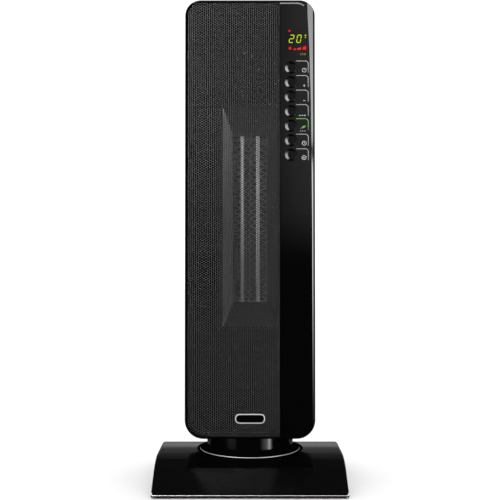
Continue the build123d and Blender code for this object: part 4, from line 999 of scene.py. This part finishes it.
def cross_screw(head_height):
    """Screw along Z with the top of its head at z = 0"""
    form = bmesh.new()
    bmesh.ops.create_grid(form, x_segments=3, y_segments=3, size=cross_span / 2)
    for corner in form.verts:
        for axis in (0, 1):
            if abs(corner.co[axis]) < cross_span / 3:
                corner.co[axis] = math.copysign(cross_arm / 2, corner.co[axis])
    outer = [f for f in form.faces
             if min(abs(c) for c in f.calc_center_median()[:2]) > cross_arm / 2]
    bmesh.ops.delete(form, geom=outer, context="FACES")
    cross = form.faces[:]
    cross_rim = [e for e in form.edges if e.is_boundary]
    rim_verts = bmesh.ops.create_circle(form, radius=head_radius - head_edge, segments=32)["verts"]
    rim = list({e for corner in rim_verts for e in corner.link_edges})
    bmesh.ops.triangle_fill(form, edges=cross_rim + rim, use_beauty=True)
    sunk = bmesh.ops.extrude_face_region(form, geom=cross)["geom"]
    sunk_verts = of_kind(sunk, BMVert)
    bmesh.ops.delete(form, geom=[f for f in cross if f.is_valid], context="FACES_ONLY")
    bmesh.ops.translate(form, verts=sunk_verts, vec=(0.0, 0.0, -cross_depth))
    bmesh.ops.scale(form, verts=sunk_verts, vec=(0.6, 0.6, 1.0))
    shoulder = head_radius - head_edge * 0.35
    end = draw_in(form, rim, shoulder / (head_radius - head_edge), head_edge * 0.25)
    end = draw_in(form, end, head_radius / shoulder, head_edge * 0.5)
    end = draw_in(form, end, 1.0, head_height - head_edge * 0.75)
    end = draw_in(form, end, shank_radius / head_radius, 0.0)
    end = draw_in(form, end, 1.0, shank_length - tip_length)
    end = draw_in(form, end, 0.4, tip_length)
    bmesh.ops.contextual_create(form, geom=end)
    bmesh.ops.recalc_face_normals(form, faces=form.faces)
    return form


def screw_set(name, node, places, head_height, turn):
    """Copies of one screw at all places, each with its cross at another angle"""
    whole = bmesh.new()
    for number, place in enumerate(places):
        one = cross_screw(head_height)
        spun = Matrix.Rotation(math.radians(37 * number), 4, "Z")
        bmesh.ops.transform(one, verts=one.verts, matrix=Matrix.Translation(place) @ turn @ spun)
        lone = bpy.data.meshes.new("one_screw")
        one.to_mesh(lone)
        one.free()
        whole.from_mesh(lone)
        bpy.data.meshes.remove(lone)
    body = frame["nodes"][node].parent.name.split(":")[-1]
    new_piece(name, whole, finishes["steel"], body=body, replaces=(node,),
              smooth=False)


shell_low, shell_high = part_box("shell_screws")
shell_places = [(x, shell_high.y, z)
                for x in (shell_low.x + cad_head_radius, shell_high.x - cad_head_radius)
                for z in (shell_low.z + cad_head_radius, shell_high.z - cad_head_radius)]
screw_set("shell_cross_screws", "shell_screws", shell_places, 2.0 * mm,
          Matrix.Rotation(-right_angle, 4, "X"))
under_low, under_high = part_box("base_screws")
under_places = [(x, y, under_low.z)
                for x in (under_low.x + cad_head_radius, under_high.x - cad_head_radius)
                for y in (under_low.y + cad_head_radius, 0.0, under_high.y - cad_head_radius)]
screw_set("base_cross_screws", "base_screws", under_places, 1.6 * mm,
          Matrix.Rotation(2 * right_angle, 4, "X"))

# %% [markdown]
# The mains rocker carries the two marks that every such switch has: a ring for off and a bar
# for on. It rests on its off side, so its upper half stands upright, and its lower half leans
# out by the 16 degrees that it can tilt.

# %% Rocker marks
rocker_low, rocker_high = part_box("mains_rocker")
rocker_x = (rocker_low.x + rocker_high.x) / 2
lean = math.radians(16)
crest = Vector((rocker_x, 58.38 * mm, 98.26 * mm))
for name, away, tilt, draw in (
        ("rocker_off_mark", 4.4 * mm, 0.0, lambda form: ring(form, 0.0, 0.0, 1.9, 1.25)),
        ("rocker_on_mark", -4.4 * mm, lean, lambda form: bar(form, 0.0, 0.0, 0.7, 3.6))):
    form = bmesh.new()
    draw(form)
    stand_up(form, 0.0)
    bmesh.ops.transform(form, verts=form.verts, matrix=Matrix.Rotation(2 * right_angle, 4, "Z"))
    bmesh.ops.transform(form, verts=form.verts, matrix=Matrix.Rotation(tilt, 4, "X"))
    out = Vector((0.0, math.sin(tilt) * abs(away), math.copysign(math.cos(tilt) * abs(away), away)))
    bmesh.ops.translate(form, verts=form.verts, vec=crest + out)
    new_piece(name, form, print_white, body="rocker")
